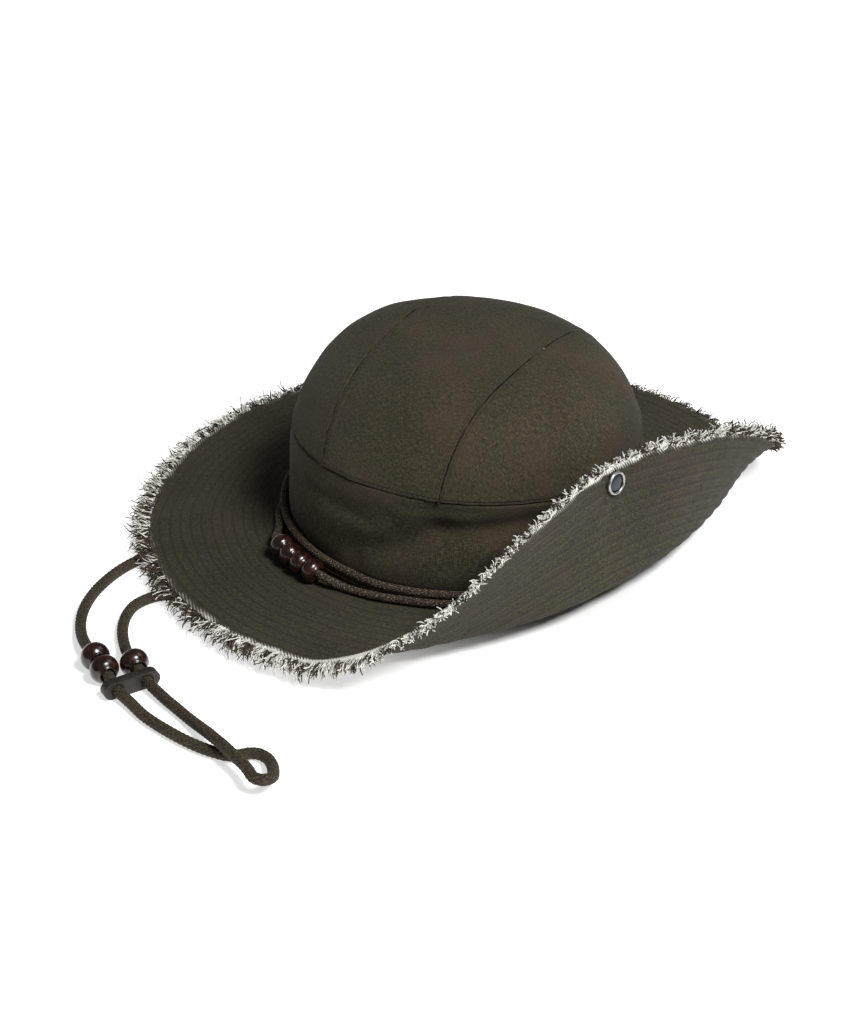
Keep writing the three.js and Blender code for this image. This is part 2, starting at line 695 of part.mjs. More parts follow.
function add(name, geometry, look) {
  const mesh = new THREE.Mesh(geometry, new THREE.MeshStandardMaterial(look));
  mesh.name = name;
  hat.add(mesh);
  return mesh;
}

function pointZ(mesh, way) {
  mesh.quaternion.setFromUnitVectors(new THREE.Vector3(0, 0, 1), way.clone().normalize());
}

const body = [
  add('crown_center_panel', centrePanel(), canvas),
  add('crown_side_left', sidePanel(1), canvas),
  add('crown_side_right', sidePanel(-1), canvas),
  add('crown_band', crownBand(), canvas),
  add('brim', brim(), canvas),
  add('brim_fringe', brimFringe(), yarn),
  add('hatband_cord_upper', upperStrand(), braid),
  add('hatband_cord_lower', lowerStrand(), braid),
];

for (let i = 0; i < HATBAND_BEAD_COUNT; i += 1) {
  const angle = HATBAND_BEAD_ANGLE + (i - (HATBAND_BEAD_COUNT - 1) / 2) * beadStep();
  const geometry = beadGeometry(HATBAND_BEAD_RADIUS, HATBAND_BEAD_LENGTH, HATBAND_BEAD_HOLE);
  const bead = add(`hatband_bead_${i + 1}`, geometry, wood);
  bead.position.copy(lowerStrandPoint(angle));
  pointZ(bead, lowerStrandPoint(angle + 1).sub(lowerStrandPoint(angle - 1)));
  body.push(bead);
}

// The stud's cap sits on the outer face of the turned-up brim, its post between brim and crown
const snapWay = brimNormal(SNAP_ANGLE, brimWidth(SNAP_ANGLE) - SNAP_FROM_EDGE).negate();
const cap = add('snap_cap', snapCapGeometry(), metal);
cap.position.copy(snapBrimPlace).addScaledVector(snapWay, BRIM_WALL / 2 + SEAM_GAP + SNAP_SEAT_GAP);
pointZ(cap, snapWay);
body.push(cap);

const seat = BRIM_WALL / 2 + SEAM_GAP + SNAP_SEAT_GAP;
const postOuter = snapBrimPlace.clone().addScaledVector(snapWay, -seat);
const crownAcross = pressed(snapCrownPlace).sub(postOuter).negate().dot(snapWay);
const postLength = crownAcross - SNAP_POST_PLAY;
const post = add(
  'snap_post',
  new THREE.CylinderGeometry(SNAP_POST_RADIUS, SNAP_POST_RADIUS, postLength, 12)
    .rotateX(Math.PI / 2),
  metal,
);
post.position.copy(postOuter).addScaledVector(snapWay, -postLength / 2);
pointZ(post, snapWay);
body.push(post);

add('chin_cord', chinCord(), braid);
CHIN_BEADS.forEach((place, i) => {
  const geometry = beadGeometry(CHIN_BEAD_RADIUS, CHIN_BEAD_LENGTH, CHIN_BEAD_HOLE);
  const bead = add(`chin_bead_${i + 1}`, geometry, wood);
  const share = chinShareAt(place);
  bead.position.copy(chinRoute.getPointAt(share));
  pointZ(bead, chinRoute.getTangentAt(share));
});
const chinSlider = add('chin_slider', sliderGeometry(), slider);
const sliderWay = new THREE.Vector3(SLIDER_PLACE.wayX, SLIDER_PLACE.wayY, 0).normalize();
const sliderSide = new THREE.Vector3(-sliderWay.y, sliderWay.x, 0);
chinSlider.quaternion.setFromRotationMatrix(
  new THREE.Matrix4().makeBasis(sliderSide, new THREE.Vector3(0, 0, 1), sliderWay),
);
chinSlider.position.set(SLIDER_PLACE.x, SLIDER_PLACE.y, SLIDER_HEIGHT / 2);

// Plain cloth ears inside the band that the chin cord is sewn to
for (const [name, sign] of [['cord_ear_left', 1], ['cord_ear_right', -1]]) {
  const top = JOINT_HEIGHT + BAND_WALL;
  const ear = add(name, new THREE.BoxGeometry(EAR_DEPTH, EAR_WIDTH, EAR_DROP), braid);
  ear.position.set(sign * earMiddle, 0, top - EAR_DROP / 2);
  body.push(ear);
}

// The origin is under the middle of the box round the hat itself, on the table
const box = new THREE.Box3();
hat.updateMatrixWorld(true);
for (const mesh of body) box.expandByObject(mesh, true);
const middle = box.getCenter(new THREE.Vector3());
hat.position.set(-middle.x, -middle.y, 0);

export default hat;
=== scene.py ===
import math
import random
from functools import lru_cache

import bmesh
import bpy
from mathutils import Matrix, Vector, noise


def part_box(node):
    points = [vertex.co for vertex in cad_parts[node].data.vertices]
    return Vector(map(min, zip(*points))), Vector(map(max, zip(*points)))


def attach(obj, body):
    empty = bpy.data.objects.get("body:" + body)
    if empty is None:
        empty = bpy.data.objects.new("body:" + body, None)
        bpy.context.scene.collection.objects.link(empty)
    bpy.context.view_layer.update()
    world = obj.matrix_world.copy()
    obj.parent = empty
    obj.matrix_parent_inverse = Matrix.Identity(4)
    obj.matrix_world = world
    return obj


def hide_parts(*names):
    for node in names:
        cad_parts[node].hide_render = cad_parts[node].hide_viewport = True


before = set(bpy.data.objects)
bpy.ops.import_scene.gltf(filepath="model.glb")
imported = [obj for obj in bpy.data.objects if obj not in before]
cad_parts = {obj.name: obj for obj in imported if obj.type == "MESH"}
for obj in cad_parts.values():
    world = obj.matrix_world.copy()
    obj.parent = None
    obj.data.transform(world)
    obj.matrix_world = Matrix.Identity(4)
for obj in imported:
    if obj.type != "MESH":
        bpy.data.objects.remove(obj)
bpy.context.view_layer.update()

# The camera stands in front of the hat and to the wearer's left, a little over a metre away,
# and looks down at it by a third of a right angle, as in the photograph.
camera_data = bpy.data.cameras.new("camera")
camera_data.lens = 79.47
camera_data.sensor_width = 36
camera = bpy.data.objects.new("camera", camera_data)
camera_axes = Matrix(((0.8475, -0.2755, 0.4538), (0.5309, 0.4397, -0.7244), (0.0, 0.8548, 0.5189)))
camera.matrix_world = Matrix.Translation((0.5521, -0.8875, 0.6304)) @ camera_axes.to_4x4()
bpy.context.scene.collection.objects.link(camera)
bpy.context.scene.camera = camera


# The chin cord is a round braid of dark brown and olive cotton, 5.4 mm thick and 83 cm long. It is sewn
# to an ear inside the band on each side, comes out under the brim, runs through three beads and the
# slider, and turns back in a small loop. It lies loose on the table.
CORD_RADIUS = 0.0027
ear_boxes = [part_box("cord_ear_left"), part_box("cord_ear_right")]
crown_middle = (ear_boxes[0][0] + ear_boxes[0][1] + ear_boxes[1][0] + ear_boxes[1][1]) / 4
crown_middle.z = 0
CORD_ROUTE = [
    (-87.7, -4.2, 3), (-87.7, -14, 3), (-90.1, -40, 3), (-99, -72, 3), (-121.6, -125.7, 3),
    (-123.9, -140.5, 3), (-122, -160, 3), (-115.9, -177, 3), (-106.6, -190.5, 3.2),
    (-93.9, -202.2, 5.8), (-81.3, -209.8, 7.2), (-71.1, -215.6, 7.2), (-62, -220.5, 4.8),
    (-56.3, -223.4, 4.2), (-46.4, -226.7, 3.3), (-34.3, -231.2, 3), (-12.9, -235.3, 3),
    (0.6, -236.3, 3), (8.8, -235.8, 3), (15.2, -234.6, 3), (19.8, -231.7, 3), (22.9, -228.2, 3),
    (27, -226.2, 3), (32.1, -226.8, 3), (37.7, -230.9, 4.2), (42.6, -236.6, 6.4), (45.8, -242, 8),
    (44.8, -247.2, 9.4), (40.4, -248.4, 9.8), (35.4, -245.4, 9.6), (31, -242.9, 9.4),
    (24.5, -240.2, 9.3), (18.8, -237.9, 9.4), (14.2, -236.1, 9.4), (9.4, -234.2, 9), (1.6, -230, 7),
    (-7.7, -225.4, 4.6), (-17.4, -221.4, 3.2), (-25.5, -218.4, 3), (-34.4, -215.5, 3.2),
    (-49.2, -210, 4.2), (-54.6, -207.2, 4.8), (-57.6, -206.3, 6.4), (-62, -204, 7.2),
    (-66.3, -201.5, 7.5), (-72.5, -196.9, 6), (-78.7, -190.9, 3.6), (-84.7, -184.9, 3),
    (-90.1, -178, 3), (-94.7, -169.4, 3), (-96.9, -158.7, 3), (-92, -146.5, 3), (-78, -139, 3),
    (-45, -137, 3), (-5, -133, 3), (34, -116, 3), (54, -90, 3), (70, -60, 3), (82.5, -31, 3),
    (87.7, -4.2, 3),
]


def smooth_route(points, is_closed, step):
    """Places about a step apart on a smooth curve through the points."""
    count = len(points)
    close = []
    for i in range(count if is_closed else count - 1):
        start, end = points[i], points[(i + 1) % count]
        before = points[i - 1] if is_closed or i > 0 else 2 * start - end
        after = points[(i + 2) % count] if is_closed or i + 2 < count else 2 * end - start
        gaps = [math.sqrt((b - a).length) for a, b in ((before, start), (start, end), (end, after))]
        ahead = (end - start) / gaps[1]
        leave = (start - before) / gaps[0] - (end - before) / (gaps[0] + gaps[1]) + ahead
        arrive = ahead - (after - start) / (gaps[1] + gaps[2]) + (after - end) / gaps[2]
        leave *= gaps[1]
        arrive *= gaps[1]
        for j in range(32):
            t = j / 32
            bend = (3 * (end - start) - 2 * leave - arrive) * t**2
            close.append(start + leave * t + bend + (2 * (start - end) + leave + arrive) * t**3)
    close.append(close[0].copy() if is_closed else points[-1].copy())
    reached = [0.0]
    for a, b in zip(close, close[1:]):
        reached.append(reached[-1] + (b - a).length)
    steps = round(reached[-1] / step)
    places, i = [], 0
    for k in range(steps + 1):
        want = reached[-1] * k / steps
        while i < len(close) - 2 and reached[i + 1] < want:
            i += 1
        places.append(close[i].lerp(close[i + 1], (want - reached[i]) / (reached[i + 1] - reached[i])))
    return places


def flat_sheet(columns, rows):
    """A sheet of cells that lies from 0 to 1 both ways."""
    bm = bmesh.new()
    bmesh.ops.create_grid(bm, x_segments=columns, y_segments=rows, size=0.5)
    bmesh.ops.translate(bm, verts=bm.verts, vec=(0.5, 0.5, 0))
    return bm


def map_sheet(bm, name, coordinates):
    """Gives a flat sheet a UV map whose values are a function of its two shares."""
    layer = bm.loops.layers.uv.new(name)
    values = {vert: coordinates(vert.co.x, vert.co.y) for vert in bm.verts}
    for face in bm.faces:
        for loop in face.loops:
            loop[layer].uv = values[loop.vert]


def finish_piece(bm, name, material, stands_for=()):
    """Turns a mesh into a piece of the hat that rides on its one body."""
    mesh = bpy.data.meshes.new(name)
    bm.to_mesh(mesh)
    bm.free()
    mesh.shade_smooth()
    mesh.materials.append(material)
    piece = bpy.data.objects.new(name, mesh)
    bpy.context.scene.collection.objects.link(piece)
    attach(piece, "root")
    if stands_for:
        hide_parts(*stands_for)
    return piece


def braided_tube(route, is_closed, radius, plaits, lay, relief):
    """A tube along a route whose plaits pass over and under each other both ways round it."""
    around = plaits * 4
    bm = flat_sheet(len(route) - 1, around)
    length = sum((b - a).length for a, b in zip(route, route[1:]))
    turns = round(length / lay)
    girth = 2 * math.pi * radius
    map_sheet(bm, "plaits", lambda along, turn: (along * length, turn * girth))
    crest = bm.verts.layers.float.new("crest")
    strand = bm.verts.layers.float.new("strand")
    frames = []
    for i in range(len(route)):
        ahead = route[(i + 1) % (len(route) - 1)] if is_closed else route[min(i + 1, len(route) - 1)]
        behind = route[i - 1 if i > 0 else -2] if is_closed else route[max(i - 1, 0)]
        way = (ahead - behind).normalized()
        side = way.cross(Vector((0, 0, 1))).normalized()
        frames.append((side, side.cross(way)))
    for vert in bm.verts:
        along, turn = vert.co.x, vert.co.y
        right_hand = plaits * turn + along * turns
        left_hand = plaits * turn - along * turns
        is_over = (math.floor(right_hand + 1e-6) + math.floor(left_hand + 1e-6)) % 2 == 0
        across, lengthways = (right_hand, left_hand) if is_over else (left_hand, right_hand)
        rise = math.sin(math.pi * (across % 1)) ** 0.6
        rise *= 0.55 + 0.45 * math.sin(math.pi * (lengthways % 1))
        vert[crest] = rise
        number = math.floor(across) % plaits
        vert[strand] = (number * 0.37 + (0.5 if is_over else 0.0)) % 1
        i = round(along * (len(route) - 1))
        side, up = frames[i]
        distance = radius + relief * (rise - 0.6)
        angle = turn * 2 * math.pi
        vert.co = route[i] + (side * math.cos(angle) + up * math.sin(angle)) * distance
    bmesh.ops.remove_doubles(bm, verts=bm.verts, dist=0.00001)
    if not is_closed:
        bmesh.ops.holes_fill(bm, edges=[edge for edge in bm.edges if edge.is_boundary], sides=0)
    bmesh.ops.recalc_face_normals(bm, faces=bm.faces)
    return bm


class Wire:
    """One output of a material's node. Arithmetic on wires adds Math nodes."""

    def __init__(self, socket):
        self.socket = socket

    def node(self, kind, settings, inputs, output=0):
        tree = self.socket.id_data
        made = tree.nodes.new(kind)
        for name, value in settings.items():
            setattr(made, name, value)
        for name, value in inputs.items():
            if isinstance(value, Wire):
                tree.links.new(value.socket, made.inputs[name])
            else:
                made.inputs[name].default_value = value
        return Wire(made.outputs[output])

    def math(self, operation, *others):
        return self.node("ShaderNodeMath", {"operation": operation}, dict(enumerate((self, *others))))

    def __add__(self, other):
        return self.math("ADD", other)

    __radd__ = __add__

    def __sub__(self, other):
        return self.math("SUBTRACT", other)

    def __rsub__(self, other):
        return self.node("ShaderNodeMath", {"operation": "SUBTRACT"}, {0: other, 1: self})

    def __mul__(self, other):
        return self.math("MULTIPLY", other)

    __rmul__ = __mul__

    def __truediv__(self, other):
        return self.math("DIVIDE", other)

    def clipped(self):
        return self.node("ShaderNodeClamp", {}, {0: self})

    def scaled(self, scale):
        """The wire's vector with each part times its own number."""
        return self.node("ShaderNodeVectorMath", {"operation": "MULTIPLY"}, {0: self, 1: scale})

    def noise(self, scale, detail=2.0):
        return self.node("ShaderNodeTexNoise", {}, {"Vector": self, "Scale": scale, "Detail": detail})

    def uv_map(self, name):
        return self.node("ShaderNodeUVMap", {"uv_map": name}, {})

    def attribute(self, name):
        return self.node("ShaderNodeAttribute", {"attribute_name": name}, {}, 2)

    def part(self, index):
        return self.node("ShaderNodeSeparateXYZ", {}, {0: self}, index)

    def blend(self, low, high):
        """A colour that goes from low to high as this wire goes from 0 to 1."""
        return self.node("ShaderNodeMix", {"data_type": "RGBA"}, {0: self, 6: low, 7: high}, 2)


def colour(red, green, blue):
    """A colour of the photograph, each part from 0 to 255, as the shader wants it."""
    parts = [part / 255 for part in (red, green, blue)]
    return (*[part / 12.92 if part < 0.04 else ((part + 0.055) / 1.055) ** 2.4 for part in parts], 1.0)


def new_finish(name, roughness):
    """A material, the object coordinates in it, and its shader."""
    material = bpy.data.materials.new(name)
    material.use_nodes = True
    tree = material.node_tree
    shader = tree.nodes["Principled BSDF"]
    shader.inputs["Roughness"].default_value = roughness
    return material, Wire(tree.nodes.new("ShaderNodeTexCoord").outputs["Object"]), shader


def connect(wire, shader, name):
    wire.socket.id_data.links.new(wire.socket, shader.inputs[name])


def raise_surface(height, shader):
    """Bumps the shader's surface by a height in millimetres."""
    bump = height.node("ShaderNodeBump", {}, {"Strength": 1.0, "Distance": 0.001, "Height": height})
    connect(bump, shader, "Normal")


def braid_finish(name, dark, light, fleck_and_highlight):
    """Matt braided cotton: each plait has its own tone, with fine fibres, pale flecks on the crests that
    are partly painted highlight, and painted shade in the gaps between plaits.
    """
    material, place, shader = new_finish(name, 0.8)
    crest = place.attribute("crest")
    strand = place.attribute("strand")
    plaits = place.uv_map("plaits")
    fibres = plaits.scaled((900.0, 3200.0, 0.0)).noise(1.0, 3.0)
    patches = place.noise(60.0, 3.0)
    tone = (strand * 0.5 + fibres * 0.5 + patches * 0.5 - 0.3).clipped()
    plain = tone.blend(dark, light)
    # Pale flecks only on the plait crests: partly pale fibres, partly a painted highlight.
    flecked_and_highlit = ((fibres - 0.53) * 10 * crest).clipped().blend(plain, fleck_and_highlight)
    # Painted shade: the colour goes almost black where the crest is low, in the gaps between plaits.
    shaded = (crest * 1.3 + 0.12).clipped().blend((0.004, 0.003, 0.002, 1.0), flecked_and_highlit)
    connect(shaded, shader, "Base Color")
    connect(0.92 - crest * 0.22, shader, "Roughness")
    raise_surface(crest * 0.25 + fibres * 0.22, shader)
    shader.inputs["Sheen Weight"].default_value = 0.04
    shader.inputs["Specular IOR Level"].default_value = 0.3
    return material


cord_points = [crown_middle + Vector(point) * 0.001 for point in CORD_ROUTE]
cord_route = smooth_route(cord_points, False, 0.00066)
chin_braid = braid_finish("chin_braid", colour(30, 25, 18), colour(70, 61, 44), colour(104, 94, 72))
cord_tube = braided_tube(cord_route, False, CORD_RADIUS, 8, 0.0027, 0.0005)
chin_cord = finish_piece(cord_tube, "chin_cord_braid", chin_braid, ["chin_cord"])

# Three round rosewood beads are threaded on the chin cord beside the slider. They are turned, drilled
# through and varnished, dark red brown with darker grain.
BEAD_PLACES = [(-81.3, -209.8), (-71.1, -215.6), (-62, -204)]
BEAD_RADIUS, BEAD_LENGTH, BEAD_HOLE = 0.0072, 0.0106, 0.0033


def rosewood_finish(name, shift):
    """Varnished dark red wood with grain lines along one axis."""
    material, place, shader = new_finish(name, 0.26)
    moved = place.node("ShaderNodeVectorMath", {"operation": "ADD"}, {0: place, 1: shift})
    grain = moved.scaled((1.0, 1.0, 0.22)).noise(420.0, 4.0)
    figure = moved.noise(95.0, 3.0)
    streaks = ((grain - 0.5) * 3.2 + 0.5).clipped()
    wood = streaks.blend(colour(14, 7, 6), colour(56, 22, 16))
    patched = ((figure - 0.52) * 5).clipped().blend(wood, colour(14, 10, 9))
    connect(patched, shader, "Base Color")
    connect(0.2 + streaks * 0.12, shader, "Roughness")
    shader.inputs["Coat Weight"].default_value = 0.45
    shader.inputs["Coat Roughness"].default_value = 0.16
    raise_surface(grain * 0.03, shader)
    return material


def turned_solid(profile, is_closed, steps, place, way):
    """A solid turned from a profile of radius and height, at a place and with its axis one way."""
    bm = bmesh.new()
    verts = [bm.verts.new((r, 0, z)) for r, z in profile]
    following = verts[1:] + verts[:1] if is_closed else verts[1:]
    edges = [bm.edges.new((a, b)) for a, b in zip(verts, following)]
    bmesh.ops.spin(
        bm, geom=verts + edges, cent=(0, 0, 0), axis=(0, 0, 1), angle=2 * math.pi, steps=steps,
        use_merge=True,
    )
    bmesh.ops.remove_doubles(bm, verts=bm.verts, dist=0.000001)
    bmesh.ops.recalc_face_normals(bm, faces=bm.faces)
    turned = Matrix.Translation(place) @ way.to_track_quat("Z", "Y").to_matrix().to_4x4()
    bmesh.ops.transform(bm, matrix=turned, verts=bm.verts)
    return bm


def turned_bead(radius, length, hole, place, way):
    """A bead turned round its hole, whose way is given, with softly pulled-in faces."""
    profile = [(hole + 0.0002, -length * 0.46), (hole + 0.0009, -length * 0.495)]
    for k in range(1, 16):
        turn = math.radians(-90 + 180 * k / 16)
        profile.append((max(radius * math.cos(turn) ** 0.62, hole + 0.0012), length / 2 * math.sin(turn)))
    profile += [(hole + 0.0009, length * 0.495), (hole + 0.0002, length * 0.46), (hole, length * 0.4)]
    profile.append((hole, -length * 0.4))
    return turned_solid(profile, True, 36, place, way)


for number, (x, y) in enumerate(BEAD_PLACES, 1):
    spot = crown_middle + Vector((x, y, 0)) * 0.001
    nearest = min(range(1, len(cord_route) - 1), key=lambda i: (cord_route[i].xy - spot.xy).length)
    thread_way = (cord_route[nearest + 1] - cord_route[nearest - 1]).normalized()
    wood = rosewood_finish(f"rosewood_chin_{number}", (0.31 * number, 0.17 * number, 0.05))
    bead = turned_bead(BEAD_RADIUS, BEAD_LENGTH, BEAD_HOLE, cord_route[nearest], thread_way)
    finish_piece(bead, f"chin_bead_wood_{number}", wood, [f"chin_bead_{number}"])

# The slider is an oblong of matt dark brown plastic with round ends and two holes. Both strands of the
# chin cord run through it, so that it can be pushed up under the chin.
SLIDER_LENGTH, SLIDER_HEIGHT, SLIDER_THICK = 0.029, 0.0088, 0.0048
SLIDER_HOLE, SLIDER_HOLE_ASIDE = 0.0032, 0.0076


def join_flat_faces(bm):
    bmesh.ops.dissolve_limit(
        bm, angle_limit=0.02, use_dissolve_boundaries=False, verts=bm.verts, edges=bm.edges, delimit=set()
    )


def round_edges(bm, edges, size):
    bmesh.ops.bevel(
        bm, geom=edges, offset=size, offset_type="OFFSET", segments=4, profile=0.5, affect="EDGES",
        material=-1, clamp_overlap=True,
    )


def slider_mesh():
    """Its outline with the holes is filled, drawn out to its thickness and rounded along the edges."""
    bm = bmesh.new()
    end, half = SLIDER_HEIGHT / 2, SLIDER_LENGTH / 2 - SLIDER_HEIGHT / 2
    outline = bmesh.ops.create_circle(bm, segments=56, radius=end, cap_ends=False)["verts"]
    for vert in outline:
        vert.co.x += math.copysign(half, vert.co.x + 1e-7)
    for side in (-1, 1):
        hole = bmesh.ops.create_circle(bm, segments=28, radius=SLIDER_HOLE, cap_ends=False)["verts"]
        bmesh.ops.translate(bm, verts=hole, vec=(side * SLIDER_HOLE_ASIDE, 0, 0))
    bmesh.ops.triangle_fill(bm, edges=bm.edges, use_beauty=True, use_dissolve=False)
    drawn = bmesh.ops.extrude_face_region(bm, geom=list(bm.faces))["geom"]
    top = [part for part in drawn if isinstance(part, bmesh.types.BMVert)]
    bmesh.ops.translate(bm, verts=top, vec=(0, 0, SLIDER_THICK))
    bmesh.ops.translate(bm, verts=bm.verts, vec=(0, 0, -SLIDER_THICK / 2))
    bmesh.ops.recalc_face_normals(bm, faces=bm.faces)
    join_flat_faces(bm)
    sharp = [edge for edge in bm.edges if len(edge.link_faces) == 2 and edge.calc_face_angle(0) > 1.0]
    round_edges(bm, sharp, 0.0009)
    way = Vector((0.89, -0.45, 0)).normalized()
    side = Vector((-way.y, way.x, 0))
    axes = Matrix((side, Vector((0, 0, 1)), way)).transposed().to_4x4()
    place = crown_middle + Vector((-0.0557, -0.2152, SLIDER_HEIGHT / 2))
    bmesh.ops.transform(bm, matrix=Matrix.Translation(place) @ axes, verts=bm.verts)
    return bm


def slider_finish():
    """Moulded plastic with faint scuffs and a soft grain."""
    material, place, shader = new_finish("slider_plastic", 0.5)
    scuffs = place.noise(240.0, 5.0)
    grain = place.noise(1500.0, 2.0)
    mixed = (scuffs * 1.4 - 0.2).clipped().blend(colour(28, 23, 20), colour(50, 43, 38))
    connect(mixed, shader, "Base Color")
    connect(0.42 + scuffs * 0.25, shader, "Roughness")
    raise_surface(grain * 0.05 + scuffs * 0.06, shader)
    return material


chin_slider = finish_piece(
    slider_mesh(), "chin_slider_moulding", slider_finish(), ["chin_slider"]
)

# The dome is sewn from three panels of cotton canvas: a long one over the middle and a half moon on
# each side. The seams are pressed to one side and topstitched, and the cloth puckers a little there.
HALF_LENGTH, HALF_WIDTH, CROWN_HEIGHT = 0.0942, 0.0932, 0.1015
STRAIGHT_HEIGHT, ROUNDNESS, JOINT_HEIGHT = 0.005, 3.2, 0.010
BAND_HEIGHTS = (0.0565, 0.050, 0.054)
PANEL_HALF_TOP, PANEL_HALF_END = 0.0375, 0.0328
SEAM_GAP = 0.0003
BAND_FOLDS = [
    (-38, 0.73, 6, 0.76, 0.0014, 0.0045),
    (-4, 0.38, 22, 0.70, 0.0030, 0.0065),
    (22, 0.70, 62, 0.84, 0.0034, 0.0060),
    (4, 0.18, 58, 0.46, -0.0022, 0.0090),
]
DOME_DENTS = [(-30, 0.12, 0.0018, 0.016), (62, 0.62, 0.0016, 0.014), (-100, 0.6, -0.003, 0.024)]
dome_centre = Vector((0, 0, JOINT_HEIGHT + STRAIGHT_HEIGHT))


def eased(share):
    s = min(max(share, 0.0), 1.0)
    return s * s * (3 - 2 * s)


def round_value(values, angle):
    """A value that is given at the front, the sides and the rear, at an angle from the front."""
    front, side, rear = values
    mean = (front + rear) / 4 + side / 2
    turn = math.radians(angle)
    return mean + (front - rear) / 2 * math.cos(turn) + (mean - side) * math.cos(2 * turn)


def crown_share(height):
    """How much of the crown's breadth is left at a height above the brim."""
    part = min(max((height - STRAIGHT_HEIGHT) / (CROWN_HEIGHT - STRAIGHT_HEIGHT), 0.0), 1.0)
    return (1 - part**ROUNDNESS) ** (1 / ROUNDNESS)


def band_place(angle, height):
    share, turn = crown_share(height), math.radians(angle)
    x, y = HALF_WIDTH * share * math.sin(turn), -HALF_LENGTH * share * math.cos(turn)
    return Vector((x, y, JOINT_HEIGHT + height))


def crown_angle(place):
    return math.degrees(math.atan2(place.x / HALF_WIDTH, -place.y / HALF_LENGTH))


def fold_depth(angle, height, full):
    """How deep the folds of the band press in, at an angle and a height, where the band is so high."""
    depth = 0.0
    for angle0, share0, angle1, share1, deep, reach in BAND_FOLDS:
        part = min(max((angle - angle0) / (angle1 - angle0), 0.0), 1.0)
        along = math.radians(angle - (angle0 + (angle1 - angle0) * part)) * HALF_LENGTH
        gap = math.hypot(along, height - (share0 + (share1 - share0) * part) * full)
        depth += deep * math.exp(-0.5 * (gap / reach) ** 2)
    return depth


def pressed(place):
    """The place with the folds, the dents and the bulge beside the stud pressed into the cloth."""
    angle, height = crown_angle(place), place.z - JOINT_HEIGHT
    full = round_value(BAND_HEIGHTS, angle)
    depth = fold_depth(angle, height, full)
    if height > full:
        for dent_angle, out, deep, reach in DOME_DENTS:
            turn = math.radians(dent_angle)
            x, y = out * HALF_WIDTH * math.sin(turn), -out * HALF_LENGTH * math.cos(turn)
            depth += deep * math.exp(-0.5 * (math.hypot(place.x - x, place.y - y) / reach) ** 2)
    depth -= 0.004 * math.exp(-0.5 * ((place - stud_crown_place).length / 0.024) ** 2)
    inwards = dome_centre - place
    inwards.z *= eased((place.z - dome_centre.z - CROWN_HEIGHT / 3) / 0.015)
    return place + inwards.normalized() * depth * eased((height - 0.0024) / 0.008)


def on_dome(way):
    """Where a ray from the dome's centre meets the crown."""
    across = math.hypot(way.x / HALF_WIDTH, way.y / HALF_LENGTH)
    up = max(way.z, 0) / (CROWN_HEIGHT - STRAIGHT_HEIGHT)
    return dome_centre + way / (across**ROUNDNESS + up**ROUNDNESS) ** (1 / ROUNDNESS)


def over_dome(x, over):
    """Where the crown is at a distance from its middle line and an angle over the top."""
    flat_way, rise = -math.cos(math.radians(over)), math.sin(math.radians(over))
    near, far = 0.0, 0.2
    for _ in range(30):
        reach = (near + far) / 2
        across = math.hypot(x / HALF_WIDTH, flat_way * reach / HALF_LENGTH)
        up = max(rise * reach, 0) / (CROWN_HEIGHT - STRAIGHT_HEIGHT)
        if across**ROUNDNESS + up**ROUNDNESS < 1:
            near = reach
        else:
            far = reach
    return Vector((x, flat_way * near, dome_centre.z + rise * near))


def panel_half_width(over):
    return PANEL_HALF_TOP + (PANEL_HALF_END - PANEL_HALF_TOP) * math.cos(math.radians(over)) ** 2


@lru_cache(None)
def panel_start(x, is_rear):
    """The angle over the top at which the middle panel meets the band."""
    angle = 180.0 if is_rear else 0.0
    for _ in range(6):
        height = round_value(BAND_HEIGHTS, angle) + SEAM_GAP
        foot = band_place(angle, height)
        side = math.degrees(math.asin(x / (HALF_WIDTH * crown_share(height))))
        angle = 180 - side if is_rear else side
    return math.degrees(math.atan2(foot.z - dome_centre.z, abs(foot.y)))


def crowded(share, strength):
    """A share with more steps near both its ends, where the seams are."""
    return share - strength * math.sin(2 * math.pi * share)


def seam_relief(gap, along):
    """Height of the cloth near a seam: rolled down at it, raised over the allowance, and puckered."""
    roll = -0.0009 * max(1 - gap / 0.0011, 0.0) ** 2
    allowance = 0.00035 * (1 - eased((gap - 0.0052) / 0.0022))
    sewn = -0.0003 * math.exp(-(((gap - 0.0017) / 0.0005) ** 2))
    sewn -= 0.0002 * math.exp(-(((gap - 0.0052) / 0.0006) ** 2))
    pucker = math.sin(along / 0.0031 + 3 * noise.noise(Vector((along * 60, 0.3, 0))))
    return roll + allowance + sewn + 0.00022 * pucker * math.exp(-gap / 0.006)


def slack(place, seed):
    """Slight unevenness of soft cloth."""
    broad = noise.noise(place * 26 + Vector((seed, 0, 0)))
    fine = noise.noise(place * 75 + Vector((0, seed, 0)))
    return 0.0007 * broad + 0.00028 * fine


def shape_cloth(bm, place, relief):
    """Moves a flat sheet to its place, outwards facing, then raises it by its relief."""
    shares = [(vert.co.x, vert.co.y) for vert in bm.verts]
    for vert, (a, b) in zip(bm.verts, shares):
        vert.co = place(a, b)
    bm.normal_update()
    outwards = sum(face.normal.dot(face.calc_center_median() - dome_centre) for face in bm.faces)
    if outwards < 0:
        bmesh.ops.reverse_faces(bm, faces=bm.faces)
        bm.normal_update()
    moved = [vert.co + vert.normal * relief(a, b, vert.co) for vert, (a, b) in zip(bm.verts, shares)]
    for vert, co in zip(bm.verts, moved):
        vert.co = co


def stitch_masks(place, uv_map, rows, length):
    """Where the thread of some stitched rows shows, and where its rows pinch the cloth.
    The UV map holds the way along the seam and the distance from it, in metres."""
    seam = place.uv_map(uv_map)
    along = seam.part(0)
    gap = seam.part(1)
    dash = ((along / length).math("FRACT") - 0.5).math("ABSOLUTE")
    is_dash = ((0.4 - dash) * 14).clipped()
    thread, pinch = None, None
    for row, strength in rows:
        aside = (gap - row).math("ABSOLUTE")
        line = ((0.00042 - aside) * 5000).clipped() * strength
        dent = ((0.0009 - aside) * 1400).clipped() * strength
        thread = line if thread is None else thread.math("MAXIMUM", line)
        pinch = dent if pinch is None else pinch.math("MAXIMUM", dent)
    return thread * is_dash, pinch


